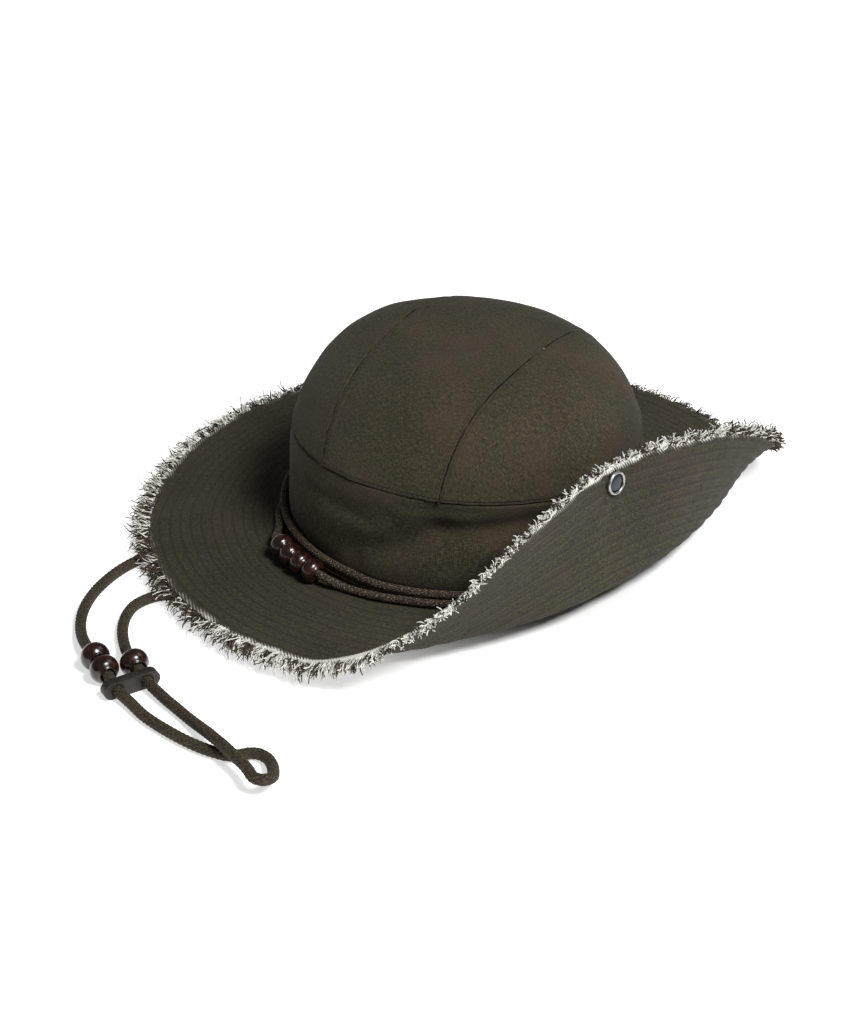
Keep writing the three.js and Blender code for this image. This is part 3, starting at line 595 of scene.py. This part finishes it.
def cloth_yarns(place):
    """The cloth's own map, and how far its uneven yarns stand out both ways."""
    cloth = place.uv_map("cloth")
    warp = cloth.scaled((2300.0, 400.0, 0.0)).noise(1.0, 2.0)
    weft = cloth.scaled((400.0, 2300.0, 0.0)).noise(1.0, 2.0)
    return cloth, warp.math("MAXIMUM", weft)


def make_matt_cotton(shader, mixed, yarns, height):
    """Matt cotton with a trace of sheen, from its colour, its yarns and its height."""
    connect(mixed, shader, "Base Color")
    connect(0.96 - yarns * 0.12, shader, "Roughness")
    raise_surface(height, shader)
    shader.inputs["Sheen Weight"].default_value = 0.03
    shader.inputs["Specular IOR Level"].default_value = 0.25
    shader.inputs["Sheen Roughness"].default_value = 0.6


def canvas_finish(name, seams):
    """Matt cotton canvas: uneven yarns both ways, faded and reddish patches, and stitched rows with
    painted shade in the dents they pinch.
    seams holds (UV map, rows, stitch length) for each seam."""
    material, place, shader = new_finish(name, 0.92)
    cloth, yarns = cloth_yarns(place)
    across = cloth.part(0)
    along = cloth.part(1)
    weave = (across * 9000).math("SINE") * (along * 9000).math("SINE")
    patches = place.noise(22.0, 4.0)
    red_patches = place.scaled((1.0, 1.0, 1.3)).noise(38.0, 3.0)
    tone = ((yarns - 0.57) * 5.4 + (patches - 0.5) * 1.2 + 0.5).clipped()
    olive = tone.blend(colour(39, 36, 24), colour(72, 66, 47))
    mixed = ((red_patches - 0.5) * 2.6).clipped().blend(olive, colour(66, 53, 43))
    height = yarns * 0.28 + weave * 0.045
    for uv_map, rows, length in seams:
        thread, pinch = stitch_masks(place, uv_map, rows, length)
        # Painted shade: the cloth is darkened in the dents that the stitched rows pinch.
        mixed = (pinch * 0.6).blend(mixed, colour(22, 20, 15))
        mixed = (thread * 0.8).blend(mixed, colour(74, 69, 52))
        height = height + thread * 0.35 - pinch * 0.3
    make_matt_cotton(shader, mixed, yarns, height)
    return material


# The plain crown bulges across from the stud, at this place
stud_crown_place = Vector((0.0865, -0.0206, 0.0673))
PANEL_SEAMS = [
    ("side_seam", [(0.0017, 1.0), (0.0056, 0.5)], 0.0028),
    ("band_seam", [(0.0017, 1.0)], 0.0028),
]
panel_canvas = canvas_finish("canvas_panels", PANEL_SEAMS)
PANEL_LENGTH, PANEL_WIDTH = 0.255, 0.072


def middle_place(along, across):
    side = crowded(across, 0.12) * 2 - 1
    first = panel_start(round(abs(side) * PANEL_HALF_END, 6), False)
    last = 180 - panel_start(round(abs(side) * PANEL_HALF_END, 6), True)
    over = first + (last - first) * crowded(along, 0.1)
    return pressed(over_dome(side * (panel_half_width(over) - SEAM_GAP / 2), over))


def panel_along(share):
    return crowded(share, 0.1) * PANEL_LENGTH


def panel_across(share):
    return crowded(share, 0.12) * PANEL_WIDTH


def middle_gaps(along, across):
    """Distances of a place on the middle panel from its long seams and from the band."""
    to_side = min(crowded(across, 0.12), 1 - crowded(across, 0.12)) * PANEL_WIDTH
    to_band = min(crowded(along, 0.1), 1 - crowded(along, 0.1)) * PANEL_LENGTH
    return to_side, to_band


def middle_relief(along, across, place):
    to_side, to_band = middle_gaps(along, across)
    lengthways, sideways = along * PANEL_LENGTH, across * PANEL_WIDTH
    return seam_relief(to_side, lengthways) + seam_relief(to_band, sideways) + slack(place, 3)


middle_panel = flat_sheet(190, 76)
map_sheet(middle_panel, "cloth", lambda a, b: (panel_across(b), panel_along(a)))
map_sheet(middle_panel, "side_seam", lambda a, b: (panel_along(a), middle_gaps(a, b)[0]))
map_sheet(middle_panel, "band_seam", lambda a, b: (panel_across(b), middle_gaps(a, b)[1]))
shape_cloth(middle_panel, middle_place, middle_relief)


def half_moon(sign):
    """The panel of one side, from its long seam down to the band."""
    end = PANEL_HALF_END + SEAM_GAP / 2
    first = panel_start(PANEL_HALF_END, False)
    last = 180 - panel_start(PANEL_HALF_END, True)
    front_angle, rear_angle = crown_angle(over_dome(end, first)), crown_angle(over_dome(end, last))

    @lru_cache(None)
    def edges(along):
        over = first + (last - first) * crowded(along, 0.05)
        top = over_dome(panel_half_width(over) + SEAM_GAP / 2, over)
        angle = front_angle + (rear_angle - front_angle) * crowded(along, 0.05)
        foot = band_place(angle, round_value(BAND_HEIGHTS, angle) + SEAM_GAP)
        return (top - dome_centre).normalized(), (foot - dome_centre).normalized(), (top - foot).length

    def place(along, down):
        top, foot, _ = edges(round(along, 6))
        point = on_dome(top.lerp(foot, crowded(down, 0.12)).normalized())
        point.x *= sign
        return pressed(point)

    def gaps(along, down):
        height = edges(round(along, 6))[2] * 1.08
        return crowded(down, 0.12) * height, (1 - crowded(down, 0.12)) * height

    def relief(along, down, point):
        to_top, to_band = gaps(along, down)
        lengthways = along * PANEL_LENGTH
        taper = eased(min(along, 1 - along) / 0.05)
        sewn = seam_relief(to_top, lengthways + 0.4) + seam_relief(to_band, lengthways + 0.8)
        return sewn * taper + slack(point, 11 + sign)

    bm = flat_sheet(190, 64)
    map_sheet(bm, "cloth", lambda a, b: (gaps(a, b)[0] * 0.7 + 0.3, crowded(a, 0.05) * PANEL_LENGTH))
    map_sheet(bm, "side_seam", lambda a, b: (crowded(a, 0.05) * PANEL_LENGTH, gaps(a, b)[0] + 0.004))
    map_sheet(bm, "band_seam", lambda a, b: (crowded(a, 0.05) * 0.245, gaps(a, b)[1]))
    shape_cloth(bm, place, relief)
    return bm


def give_wall(piece, thickness, offset, group=""):
    """A live modifier that gives a sheet its two faces."""
    wall = piece.modifiers.new("wall", "SOLIDIFY")
    wall.thickness = thickness
    wall.offset = offset
    if group:
        wall.vertex_group = group
    return piece


for bm, name, node in (
    (middle_panel, "crown_middle_cloth", "crown_center_panel"),
    (half_moon(1), "crown_left_cloth", "crown_side_left"),
    (half_moon(-1), "crown_right_cloth", "crown_side_right"),
):
    bmesh.ops.translate(bm, verts=bm.verts, vec=crown_middle)
    give_wall(finish_piece(bm, name, panel_canvas, [node]), 0.0016, -1)

# The band is a low strip of the same canvas that is sewn round under the dome. It isn't stiffened, so
# it has sagged into a few soft folds at the front and bulges out beside the stud.
BAND_ROUND = 0.59
band_canvas = canvas_finish("canvas_band", [("band_seam", [(0.0011, 0.45)], 0.0028)])
CREASES = [
    (-36, 0.80, 6, 0.64, 0.0014, 0.0040),
    (-4, 0.34, 26, 0.66, 0.0010, 0.0060),
    (18, 0.66, 64, 0.82, 0.0014, 0.0050),
    (8, 0.90, 40, 0.93, 0.0006, 0.0026),
    (30, 0.40, 62, 0.28, 0.0012, 0.0040),
]


def band_point(around, up):
    angle = around * 360 - 180
    full = round_value(BAND_HEIGHTS, angle)
    return pressed(band_place(angle, -0.0012 + (full + 0.0012) * crowded(up, 0.08)))


def band_relief(around, up, place):
    angle = around * 360 - 180
    full = round_value(BAND_HEIGHTS, angle)
    height = place.z - JOINT_HEIGHT
    to_top = max(full - height, 0)
    crease = 0.0
    for angle0, share0, angle1, share1, deep, reach in CREASES:
        part = min(max((angle - angle0) / (angle1 - angle0), 0.0), 1.0)
        along = math.radians(angle - (angle0 + (angle1 - angle0) * part)) * HALF_LENGTH
        gap = math.hypot(along, height - (share0 + (share1 - share0) * part) * full)
        fade = eased(part / 0.25) * eased((1 - part) / 0.25)
        crease += deep * fade * math.exp(-((gap / reach) ** 2))
    roll = -0.0008 * max(1 - to_top / 0.001, 0.0) ** 2
    held = eased((height - 0.012) / 0.01)
    return roll + (slack(place, 23) * 1.3 - crease) * held


crown_band = flat_sheet(440, 60)
map_sheet(crown_band, "cloth", lambda a, b: (a * BAND_ROUND, b * 0.055 + 0.7))
map_sheet(crown_band, "band_seam", lambda a, b: (a * BAND_ROUND, (1 - crowded(b, 0.08)) * 0.054))
shape_cloth(crown_band, band_point, band_relief)
bmesh.ops.remove_doubles(crown_band, verts=crown_band.verts, dist=0.00001)
bmesh.ops.translate(crown_band, verts=crown_band.verts, vec=crown_middle)
give_wall(finish_piece(crown_band, "crown_band_cloth", band_canvas, ["crown_band"]), 0.002, -1)

# The brim is two plies of canvas, quilted with rows of stitches every five and a half millimetres. It
# lies on the table on the wearer's right and at the rear, and is turned up against the crown on the left.
BRIM_WIDTHS = (0.073, 0.0785, 0.0845)
BRIM_WALL, JOINT_GAP, ROW_PITCH = 0.0024, 0.0006, 0.0055
RAW_EDGE = [
    (-180, 0.1), (-120, 0.35), (-75, 0.4), (-45, 0.25), (-25, 0.35), (-8, 0.85), (12, 0.95), (25, 0.8),
    (60, 0.75), (95, 0.65), (130, 0.2), (180, 0.1),
]
BRIM_SLOPES = [
    (-180, -7.4), (-68, -7.4), (-54, -3.2), (-44, -1.7), (-30, -1.7), (-18, -0.5), (0, 1.4), (20, 2.0),
    (160, -6.6), (180, -7.4),
]
TURN_UP = math.radians(77.5)
CREASE_DISTANCE, CREASE_CURVE_RADIUS, CREASE_MIDDLE, CREASE_RADIUS = 0.1009, 0.2513, 0.0079, 0.006
TURN_ANGLE, TURN_RELAX_LENGTH = math.radians(95.6), 0.18765
EXTRA_LEFT, EXTRA_ANGLE, EXTRA_REACH = 0.004, 85, 28
facing = Vector((math.sin(TURN_UP), -math.cos(TURN_UP)))
along_crease = Vector((math.cos(TURN_UP), math.sin(TURN_UP)))


def from_table(table, angle):
    """The value at an angle, eased from each row to the next."""
    for (angle0, value0), (angle1, value1) in zip(table, table[1:]):
        if angle <= angle1:
            return value0 + (value1 - value0) * eased((angle - angle0) / (angle1 - angle0))
    return table[-1][1]


def brim_width(angle):
    """Width of the cloth at an angle from the front, a little more on the turned-up side."""
    extra = EXTRA_LEFT * math.exp(-0.5 * ((angle - EXTRA_ANGLE) / EXTRA_REACH) ** 2)
    return round_value(BRIM_WIDTHS, angle) + extra


def flat_place(angle, out):
    turn = math.radians(angle)
    outwards = Vector((math.sin(turn) / HALF_WIDTH, -math.cos(turn) / HALF_LENGTH)).normalized()
    return Vector((HALF_WIDTH * math.sin(turn), -HALF_LENGTH * math.cos(turn))) + outwards * out


STUD_ANGLE, STUD_INSET, PULL_REACH, PULL_DEPTH = 77, 0.009, 0.026, 0.005
stud_out = brim_width(STUD_ANGLE) - STUD_INSET
stud_flat = flat_place(STUD_ANGLE, stud_out)


def brim_place(angle, out):
    """Middle of the brim's wall at an angle from the front and a distance out from the crown."""
    flat = flat_place(angle, out)
    distance, beside = flat.dot(facing), flat.dot(along_crease)
    crease = CREASE_DISTANCE - (beside - CREASE_MIDDLE) ** 2 / (2 * CREASE_CURVE_RADIUS)
    past = max(distance - crease, 0.0)
    reached, lift = distance - past, 0.0
    if past > 0:
        turn = TURN_ANGLE * (1 - ((beside - CREASE_MIDDLE) / TURN_RELAX_LENGTH) ** 2)
        bend = 1.5 * CREASE_RADIUS * turn
        for i in range(16):
            lean = turn * eased(past * (i + 0.5) / 16 / bend)
            reached += math.cos(lean) * past / 16
            lift += math.sin(lean) * past / 16
    lying = JOINT_HEIGHT + out * math.tan(math.radians(from_table(BRIM_SLOPES, angle)))
    pulled = (flat - stud_flat).length / PULL_REACH
    reached -= PULL_DEPTH * math.exp(-0.5 * pulled * pulled) * eased(out / 0.008)
    x, y = facing * reached + along_crease * beside
    return Vector((x, y, max(lying + lift, BRIM_WALL / 2)))


def brim_out(angle, share):
    return JOINT_GAP + (brim_width(angle) - JOINT_GAP) * share


def brim_relief(around, share, place):
    """Quilting between the rows, and creases that run out from the stud and along the crease."""
    angle = around * 360 - 180
    out = brim_out(angle, share)
    quilt = 0.00012 * math.cos(2 * math.pi * out / ROW_PITCH)
    ripple = 0.00035 * noise.noise(Vector((angle * 0.28, out * 180, 4.0)))
    soft = 0.0009 * noise.noise(place * 17 + Vector((5, 5, 5)))
    flat = flat_place(angle, out)
    away = flat - stud_flat
    star = math.cos(9 * math.atan2(away.y, away.x)) * 0.0007 * math.exp(-away.length / 0.02)
    star *= eased(away.length / 0.012)
    return -quilt + ripple + soft * eased(out / 0.02) + star


brim_cloth = flat_sheet(520, 86)
map_sheet(brim_cloth, "cloth", lambda a, b: tuple(flat_place(a * 360 - 180, brim_out(a * 360 - 180, b))))
map_sheet(
    brim_cloth, "rows",
    lambda a, b: (math.radians(a * 360 - 180) * 0.094, brim_out(a * 360 - 180, b)),
)
shares = {vert.index: (vert.co.x, vert.co.y) for vert in brim_cloth.verts}
shape_cloth(brim_cloth, lambda a, b: brim_place(a * 360 - 180, brim_out(a * 360 - 180, b)), brim_relief)
pinched = brim_cloth.verts.layers.deform.verify()
raw = brim_cloth.verts.layers.float.new("raw")
for vert in brim_cloth.verts:
    a, b = shares[vert.index]
    to_row = abs((brim_out(a * 360 - 180, b) / ROW_PITCH) % 1 - 0.5) * 2
    vert[pinched][0] = 1 - 0.3 * to_row**4
    to_edge = brim_width(a * 360 - 180) * (1 - b)
    vert[raw] = from_table(RAW_EDGE, a * 360 - 180) * (1 - eased(to_edge / 0.005))
    vert.co.z = max(vert.co.z, BRIM_WALL / 2)
bmesh.ops.remove_doubles(brim_cloth, verts=brim_cloth.verts, dist=0.00001)
bmesh.ops.translate(brim_cloth, verts=brim_cloth.verts, vec=crown_middle)


def brim_finish():
    """The same canvas with dented rows of thread all round, painted shade in the dents, and a pale twill
    showing at its raw edge.
    """
    material, place, shader = new_finish("canvas_brim", 0.92)
    cloth, yarns = cloth_yarns(place)
    rows = place.uv_map("rows")
    out = rows.part(1)
    turned = rows.part(0)
    row = out / ROW_PITCH
    nearest = (row.math("FLOOR") + 0.5) * ROW_PITCH
    along = turned * (1 + nearest / 0.094)
    aside = (out - nearest).math("ABSOLUTE")
    dash = ((along / 0.003).math("FRACT") - 0.5).math("ABSOLUTE")
    thread = ((0.00036 - aside) * 5000).clipped() * ((0.4 - dash) * 14).clipped()
    pinch = ((0.0010 - aside) * 1100).clipped()
    patches = place.noise(20.0, 4.0)
    red_patches = place.noise(33.0, 3.0)
    tone = ((yarns - 0.57) * 5.4 + (patches - 0.5) * 1.2 + 0.5).clipped()
    olive = tone.blend(colour(38, 36, 25), colour(69, 64, 47))
    mixed = ((red_patches - 0.5) * 2.6).clipped().blend(olive, colour(62, 51, 42))
    # Painted shade: the cloth is darkened in the dents of the quilted rows.
    mixed = (pinch * 0.5).blend(mixed, colour(21, 19, 15))
    mixed = (thread * 0.4).blend(mixed, colour(62, 58, 45))
    across = cloth.part(0)
    forwards = cloth.part(1)
    twill = ((across + forwards + yarns * 0.0016) * 3300).math("SINE") * 0.5 + 0.5
    raw = place.attribute("raw")
    worn = place.noise(120.0, 2.0) * 3.0 - 1.5
    bared = ((raw * 1.5 - 0.9 + worn + twill * 0.9) * 1.6 * raw).clipped()
    mixed = bared.blend(mixed, colour(220, 220, 210))
    make_matt_cotton(shader, mixed, yarns, yarns * 0.28 + thread * 0.25 - pinch * 0.3)
    return material


brim_piece = finish_piece(brim_cloth, "brim_cloth", brim_finish(), ["brim"])
brim_piece.vertex_groups.new(name="thickness")
give_wall(brim_piece, BRIM_WALL, 0, "thickness")

# The brim's edge is cut raw and frayed, so the pale core yarns and the dark dyed ones stand out of
# the cloth in short curled ends. They are longest on the wearer's right and short on the turned-up side.
# Each row: angle from the front, length of the ends in millimetres, share of pale ends. Near the rear the
# pale share is almost nil, so the dark ends stand for the shade there: painted shade.
FRAY = [
    (-180, 8, 0.04), (-140, 9, 0.12), (-122, 9, 0.55), (-95, 10.5, 0.72), (-75, 11, 0.7), (-58, 11, 0.5),
    (-42, 10.5, 0.22), (-28, 9.5, 0.15), (-14, 9, 0.45), (0, 8, 0.7), (15, 6, 0.8), (40, 5, 0.75),
    (70, 5.5, 0.72), (95, 7, 0.55), (112, 8, 0.35), (130, 7, 0.12), (155, 8, 0.03), (180, 8, 0.04),
]
HANG = [(-180, 0.0), (-28, 0.0), (-15, 0.3), (10, 0.3), (22, 0.0), (180, 0.0)]
fray_length = [(angle, length * 0.001) for angle, length, _ in FRAY]
fray_pale = [(angle, pale) for angle, _, pale in FRAY]
YARN_RADIUS = 0.00034
chance = random.Random(41)


@lru_cache(None)
def edge_frame(step):
    """Place of the brim's edge at a half degree step, with its ways outwards, along and up."""
    angle = step / 2 - 180
    width = brim_width(angle)
    place = brim_place(angle, width)
    outwards = (brim_place(angle, width + 0.002) - brim_place(angle, width - 0.002)).normalized()
    ahead = (brim_place(angle + 0.5, width) - brim_place(angle - 0.5, width)).normalized()
    return place, outwards, ahead, ahead.cross(outwards).normalized()


def yarn_end(angle, length, layer):
    """Points of one loose yarn, from inside the cloth's edge to its free end."""
    place, outwards, ahead, up = edge_frame(round((angle + 180) * 2) % 720)
    place = place + ahead * chance.uniform(-0.0007, 0.0007) + up * layer
    spread, rise = chance.gauss(0, 0.45), chance.gauss(0, 0.28)
    way = (outwards + ahead * spread + up * rise).normalized()
    curl, phase, turn = chance.uniform(0.1, 0.32), chance.uniform(0, 6.3), chance.uniform(2.0, 6.0)
    hang = from_table(HANG, angle)
    points = []
    for k in range(6):
        t = k / 5
        point = place - outwards * 0.0016 + way * length * t
        sway = curl * length * t
        point += (ahead * math.sin(phase + turn * t) + up * math.cos(phase + turn * t)) * sway
        point.z -= hang * t**1.3 * max(point.z - 0.0006, 0) * 0.9 + (1 - hang) * 0.0012 * t * t
        point.z = max(point.z, 0.0004)
        points.append(point + crown_middle)
    return points


def yarn_tuft(name, count, is_pale, finish):
    """Many loose yarn ends as one piece."""
    curve = bpy.data.curves.new(name, "CURVE")
    curve.dimensions = "3D"
    curve.bevel_depth = YARN_RADIUS
    curve.bevel_resolution = 0
    curve.use_fill_caps = True
    made = 0
    while made < count:
        angle = chance.uniform(-180, 180)
        wave = noise.noise(Vector((angle * 0.8, 2.0, 0)))
        clump = eased(0.5 + (wave if is_pale else -wave) * 1.5)
        share = from_table(fray_pale, angle)
        if chance.random() > (share if is_pale else 1.15 - share) * (0.35 + 1.1 * clump):
            continue
        length = from_table(fray_length, angle) * chance.uniform(0.45, 1.1) * (0.7 + 0.5 * clump)
        points = yarn_end(angle, length, chance.uniform(-0.0009, 0.0011))
        spline = curve.splines.new("POLY")
        spline.points.add(len(points) - 1)
        for k, (target, point) in enumerate(zip(spline.points, points)):
            target.co = (*point, 1)
            target.radius = chance.uniform(0.75, 1.2) * (1 - 0.35 * (k / 5) ** 3)
        made += 1
    loose = bpy.data.objects.new(name + "_lines", curve)
    bpy.context.scene.collection.objects.link(loose)
    bpy.context.view_layer.update()
    mesh = bpy.data.meshes.new_from_object(loose.evaluated_get(bpy.context.evaluated_depsgraph_get()))
    bpy.data.objects.remove(loose)
    mesh.shade_smooth()
    mesh.materials.clear()
    mesh.materials.append(finish)
    mesh.name = name
    piece = bpy.data.objects.new(name, mesh)
    bpy.context.scene.collection.objects.link(piece)
    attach(piece, "root")
    return piece


def yarn_finish(name, dark, light):
    """Fuzzy cotton yarn, of another tone from one end to the next."""
    material, place, shader = new_finish(name, 0.95)
    tone = place.noise(340.0, 3.0)
    fuzz = place.noise(2600.0, 2.0)
    mixed = ((tone - 0.5) * 3.0 + (fuzz - 0.5) * 1.2 + 0.5).clipped().blend(dark, light)
    connect(mixed, shader, "Base Color")
    connect(0.85 + tone * 0.15, shader, "Roughness")
    raise_surface(fuzz * 0.12, shader)
    return material


pale_yarn = yarn_finish("pale_yarn", colour(176, 176, 164), colour(252, 252, 246))
dark_yarn = yarn_finish("dark_yarn", colour(26, 20, 15), colour(80, 64, 50))
yarn_tuft("frayed_yarn_pale", 2600, True, pale_yarn)
dark_fray = yarn_tuft("frayed_yarn_dark", 3400, False, dark_yarn)
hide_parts("brim_fringe")

# The hatband is two strands of thin dark brown braid that lie round the foot of the crown. The lower
# one swings out over the brim on the wearer's right of the front, where it carries four beads.
STRAND_RADIUS = 0.002
STRAND_GAP = STRAND_RADIUS + 0.0005
LOWER_OUT = [
    (-180, 0.0), (-62, 0.0), (-46, 4.0), (-33, 11.3), (-11, 11.3), (-2, 7.4), (18, 4.2), (42, 0.0),
    (180, 0.0),
]
HAT_BEAD_RADIUS, HAT_BEAD_LENGTH, HAT_BEAD_HOLE = 0.0062, 0.0089, 0.0024
HAT_BEAD_ANGLE = -22
hat_bead_step = math.degrees((HAT_BEAD_LENGTH + 0.0007) / (HALF_LENGTH + STRAND_GAP + 0.0113))


def upper_strand_place(angle):
    flat = flat_place(angle, STRAND_GAP)
    place = Vector((flat.x, flat.y, JOINT_HEIGHT + 0.008))
    wall = band_place(crown_angle(place), 0.008)
    bulge = pressed(wall) - wall
    outwards = bulge.length if bulge.dot(wall - dome_centre) > 0 else 0.0
    flat = flat_place(crown_angle(place), STRAND_GAP + outwards + SEAM_GAP)
    return Vector((flat.x, flat.y, place.z))


def lower_strand_place(angle):
    out = STRAND_GAP + from_table(LOWER_OUT, angle) * 0.001
    flat = flat_place(angle, out)
    lying = brim_place(angle, out).z + BRIM_WALL / 2 + STRAND_GAP
    threaded = JOINT_HEIGHT + BRIM_WALL / 2 + SEAM_GAP + HAT_BEAD_RADIUS
    lift = 1 - eased((abs(angle - HAT_BEAD_ANGLE) - 2 * hat_bead_step) / 8)
    return Vector((flat.x, flat.y, lying * (1 - lift) + threaded * lift))


hat_braid = braid_finish("hatband_braid", colour(22, 15, 11), colour(50, 37, 27), colour(160, 144, 118))
for place_at, name, node in (
    (upper_strand_place, "hatband_braid_upper", "hatband_cord_upper"),
    (lower_strand_place, "hatband_braid_lower", "hatband_cord_lower"),
):
    ring = [crown_middle + place_at(k * 5 - 180) for k in range(72)]
    ring_route = smooth_route(ring, True, 0.00062)
    strand_tube = braided_tube(ring_route, True, STRAND_RADIUS, 6, 0.0025, 0.00042)
    finish_piece(strand_tube, name, hat_braid, [node])

for k in range(4):
    angle = HAT_BEAD_ANGLE + (k - 1.5) * hat_bead_step
    thread_way = (lower_strand_place(angle + 1) - lower_strand_place(angle - 1)).normalized()
    wood = rosewood_finish(f"rosewood_band_{k + 1}", (0.13 * k, 0.4 - 0.21 * k, 0.02))
    bead_place = crown_middle + lower_strand_place(angle)
    bead = turned_bead(HAT_BEAD_RADIUS, HAT_BEAD_LENGTH, HAT_BEAD_HOLE, bead_place, thread_way)
    finish_piece(bead, f"hatband_bead_wood_{k + 1}", wood, [f"hatband_bead_{k + 1}"])

# A press stud holds the turned-up brim to the crown: a steel ring and a dark lacquered cap on the
# outer face, on a short post that comes through the cloth.
stud_up = (brim_place(STUD_ANGLE, stud_out + 0.0005) - brim_place(STUD_ANGLE, stud_out - 0.0005)).cross(
    brim_place(STUD_ANGLE + 0.5, stud_out) - brim_place(STUD_ANGLE - 0.5, stud_out)
).normalized()
stud_way = -stud_up
stud_seat = crown_middle + brim_place(STUD_ANGLE, stud_out) + stud_way * (BRIM_WALL / 2 + 0.0003)


def metal_finish(name, dark, light, metallic, roughness):
    material, place, shader = new_finish(name, roughness)
    wear = place.noise(600.0, 4.0)
    connect(((wear - 0.5) * 2 + 0.5).clipped().blend(dark, light), shader, "Base Color")
    connect(roughness - 0.08 + wear * 0.2, shader, "Roughness")
    shader.inputs["Metallic"].default_value = metallic
    raise_surface(wear * 0.04, shader)
    return material


ring_steel = metal_finish("stud_steel", colour(120, 122, 120), colour(190, 192, 188), 1.0, 0.3)
cap_lacquer = metal_finish("stud_lacquer", colour(9, 18, 26), colour(22, 38, 48), 0.0, 0.4)
ring_profile = []
for turn in range(0, 181, 15):
    rise, aside = math.sin(math.radians(turn)), 1 - math.cos(math.radians(turn))
    ring_profile.append((0.0047 + 0.00075 * aside, 0.0016 + 0.0009 * rise))
ring_profile += [(0.0062, 0.0), (0.0046, 0.0)]
cap_profile = [(0.0, 0.0), (0.0045, 0.0), (0.0045, 0.0013), (0.0040, 0.0018), (0.0026, 0.0021)]
cap_profile += [(0.0012, 0.00225), (0.0, 0.0023)]
stud_ring = turned_solid(ring_profile, True, 48, stud_seat, stud_way)
finish_piece(stud_ring, "stud_ring", ring_steel, ["snap_cap"])
stud_cap = turned_solid(cap_profile, False, 48, stud_seat, stud_way)
finish_piece(stud_cap, "stud_cap", cap_lacquer)
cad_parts["snap_post"].data.materials.clear()
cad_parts["snap_post"].data.materials.append(ring_steel)

# The ears are doubled tabs of plain canvas inside the band, with the ends of the chin cord sewn in.
ear_material, ear_place, ear_shader = new_finish("canvas_ears", 0.92)
ear_yarns = ear_place.scaled((1.0, 1.0, 0.3)).noise(900.0, 3.0)
ear_tone = ((ear_yarns - 0.5) * 3 + 0.5).clipped()
connect(ear_tone.blend(colour(44, 42, 32), colour(84, 80, 62)), ear_shader, "Base Color")
raise_surface(ear_yarns * 0.3, ear_shader)
for node in ("cord_ear_left", "cord_ear_right"):
    bm = bmesh.new()
    bm.from_mesh(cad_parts[node].data)
    bmesh.ops.remove_doubles(bm, verts=bm.verts, dist=0.00001)
    join_flat_faces(bm)
    round_edges(bm, bm.edges[:], 0.0014)
    finish_piece(bm, node + "_tab", ear_material, [node])

# The stage: a pale paper table, a soft light from the camera's right, a weak one behind the hat, and a
# dim pale room. The table glows all round the hat but not under it, so it looks plain white.
table = flat_sheet(1, 1)
eight_wide = Matrix.Translation((-4, -4, -0.0001)) @ Matrix.Scale(8, 4)
bmesh.ops.transform(table, matrix=eight_wide, verts=table.verts)
table_mesh = bpy.data.meshes.new("table_top")
table.to_mesh(table_mesh)
table.free()
table_top = bpy.data.objects.new("table_top", table_mesh)
bpy.context.scene.collection.objects.link(table_top)
table_material, table_place, table_shader = new_finish("table_paper", 0.9)
paper = table_place.noise(3.0, 2.0).blend(colour(243, 243, 243), colour(247, 247, 247))
connect(paper, table_shader, "Base Color")
from_hat = table_place.node(
    "ShaderNodeVectorMath", {"operation": "DISTANCE"}, {0: table_place, 1: tuple(crown_middle)}, 1
)
glow = ((from_hat - 0.1) * 20).clipped().blend((0.0, 0.0, 0.0, 1.0), (1.0, 1.0, 1.0, 1.0))
connect(glow, table_shader, "Emission Color")
table_shader.inputs["Emission Strength"].default_value = 0.6
table_mesh.materials.append(table_material)

bpy.context.scene.view_settings.view_transform = "Standard"
world = bpy.data.worlds.new("room")
world.use_nodes = True
world.node_tree.nodes["Background"].inputs["Color"].default_value = (1.0, 1.0, 1.0, 1.0)
world.node_tree.nodes["Background"].inputs["Strength"].default_value = 0.12
bpy.context.scene.world = world
for name, place, size, power in (
    ("key_light", (1.05, -0.35, 1.45), 0.55, 35.0),
    ("back_light", (0.7, 0.9, 1.5), 0.8, 3.0),
):
    light_data = bpy.data.lights.new(name, "AREA")
    light_data.size = size
    light_data.energy = power
    light = bpy.data.objects.new(name, light_data)
    light.location = place
    light.rotation_mode = "QUATERNION"
    light.rotation_quaternion = (Vector(place) - Vector((0, -0.03, 0.04))).to_track_quat("Z", "Y")
    bpy.context.scene.collection.objects.link(light)
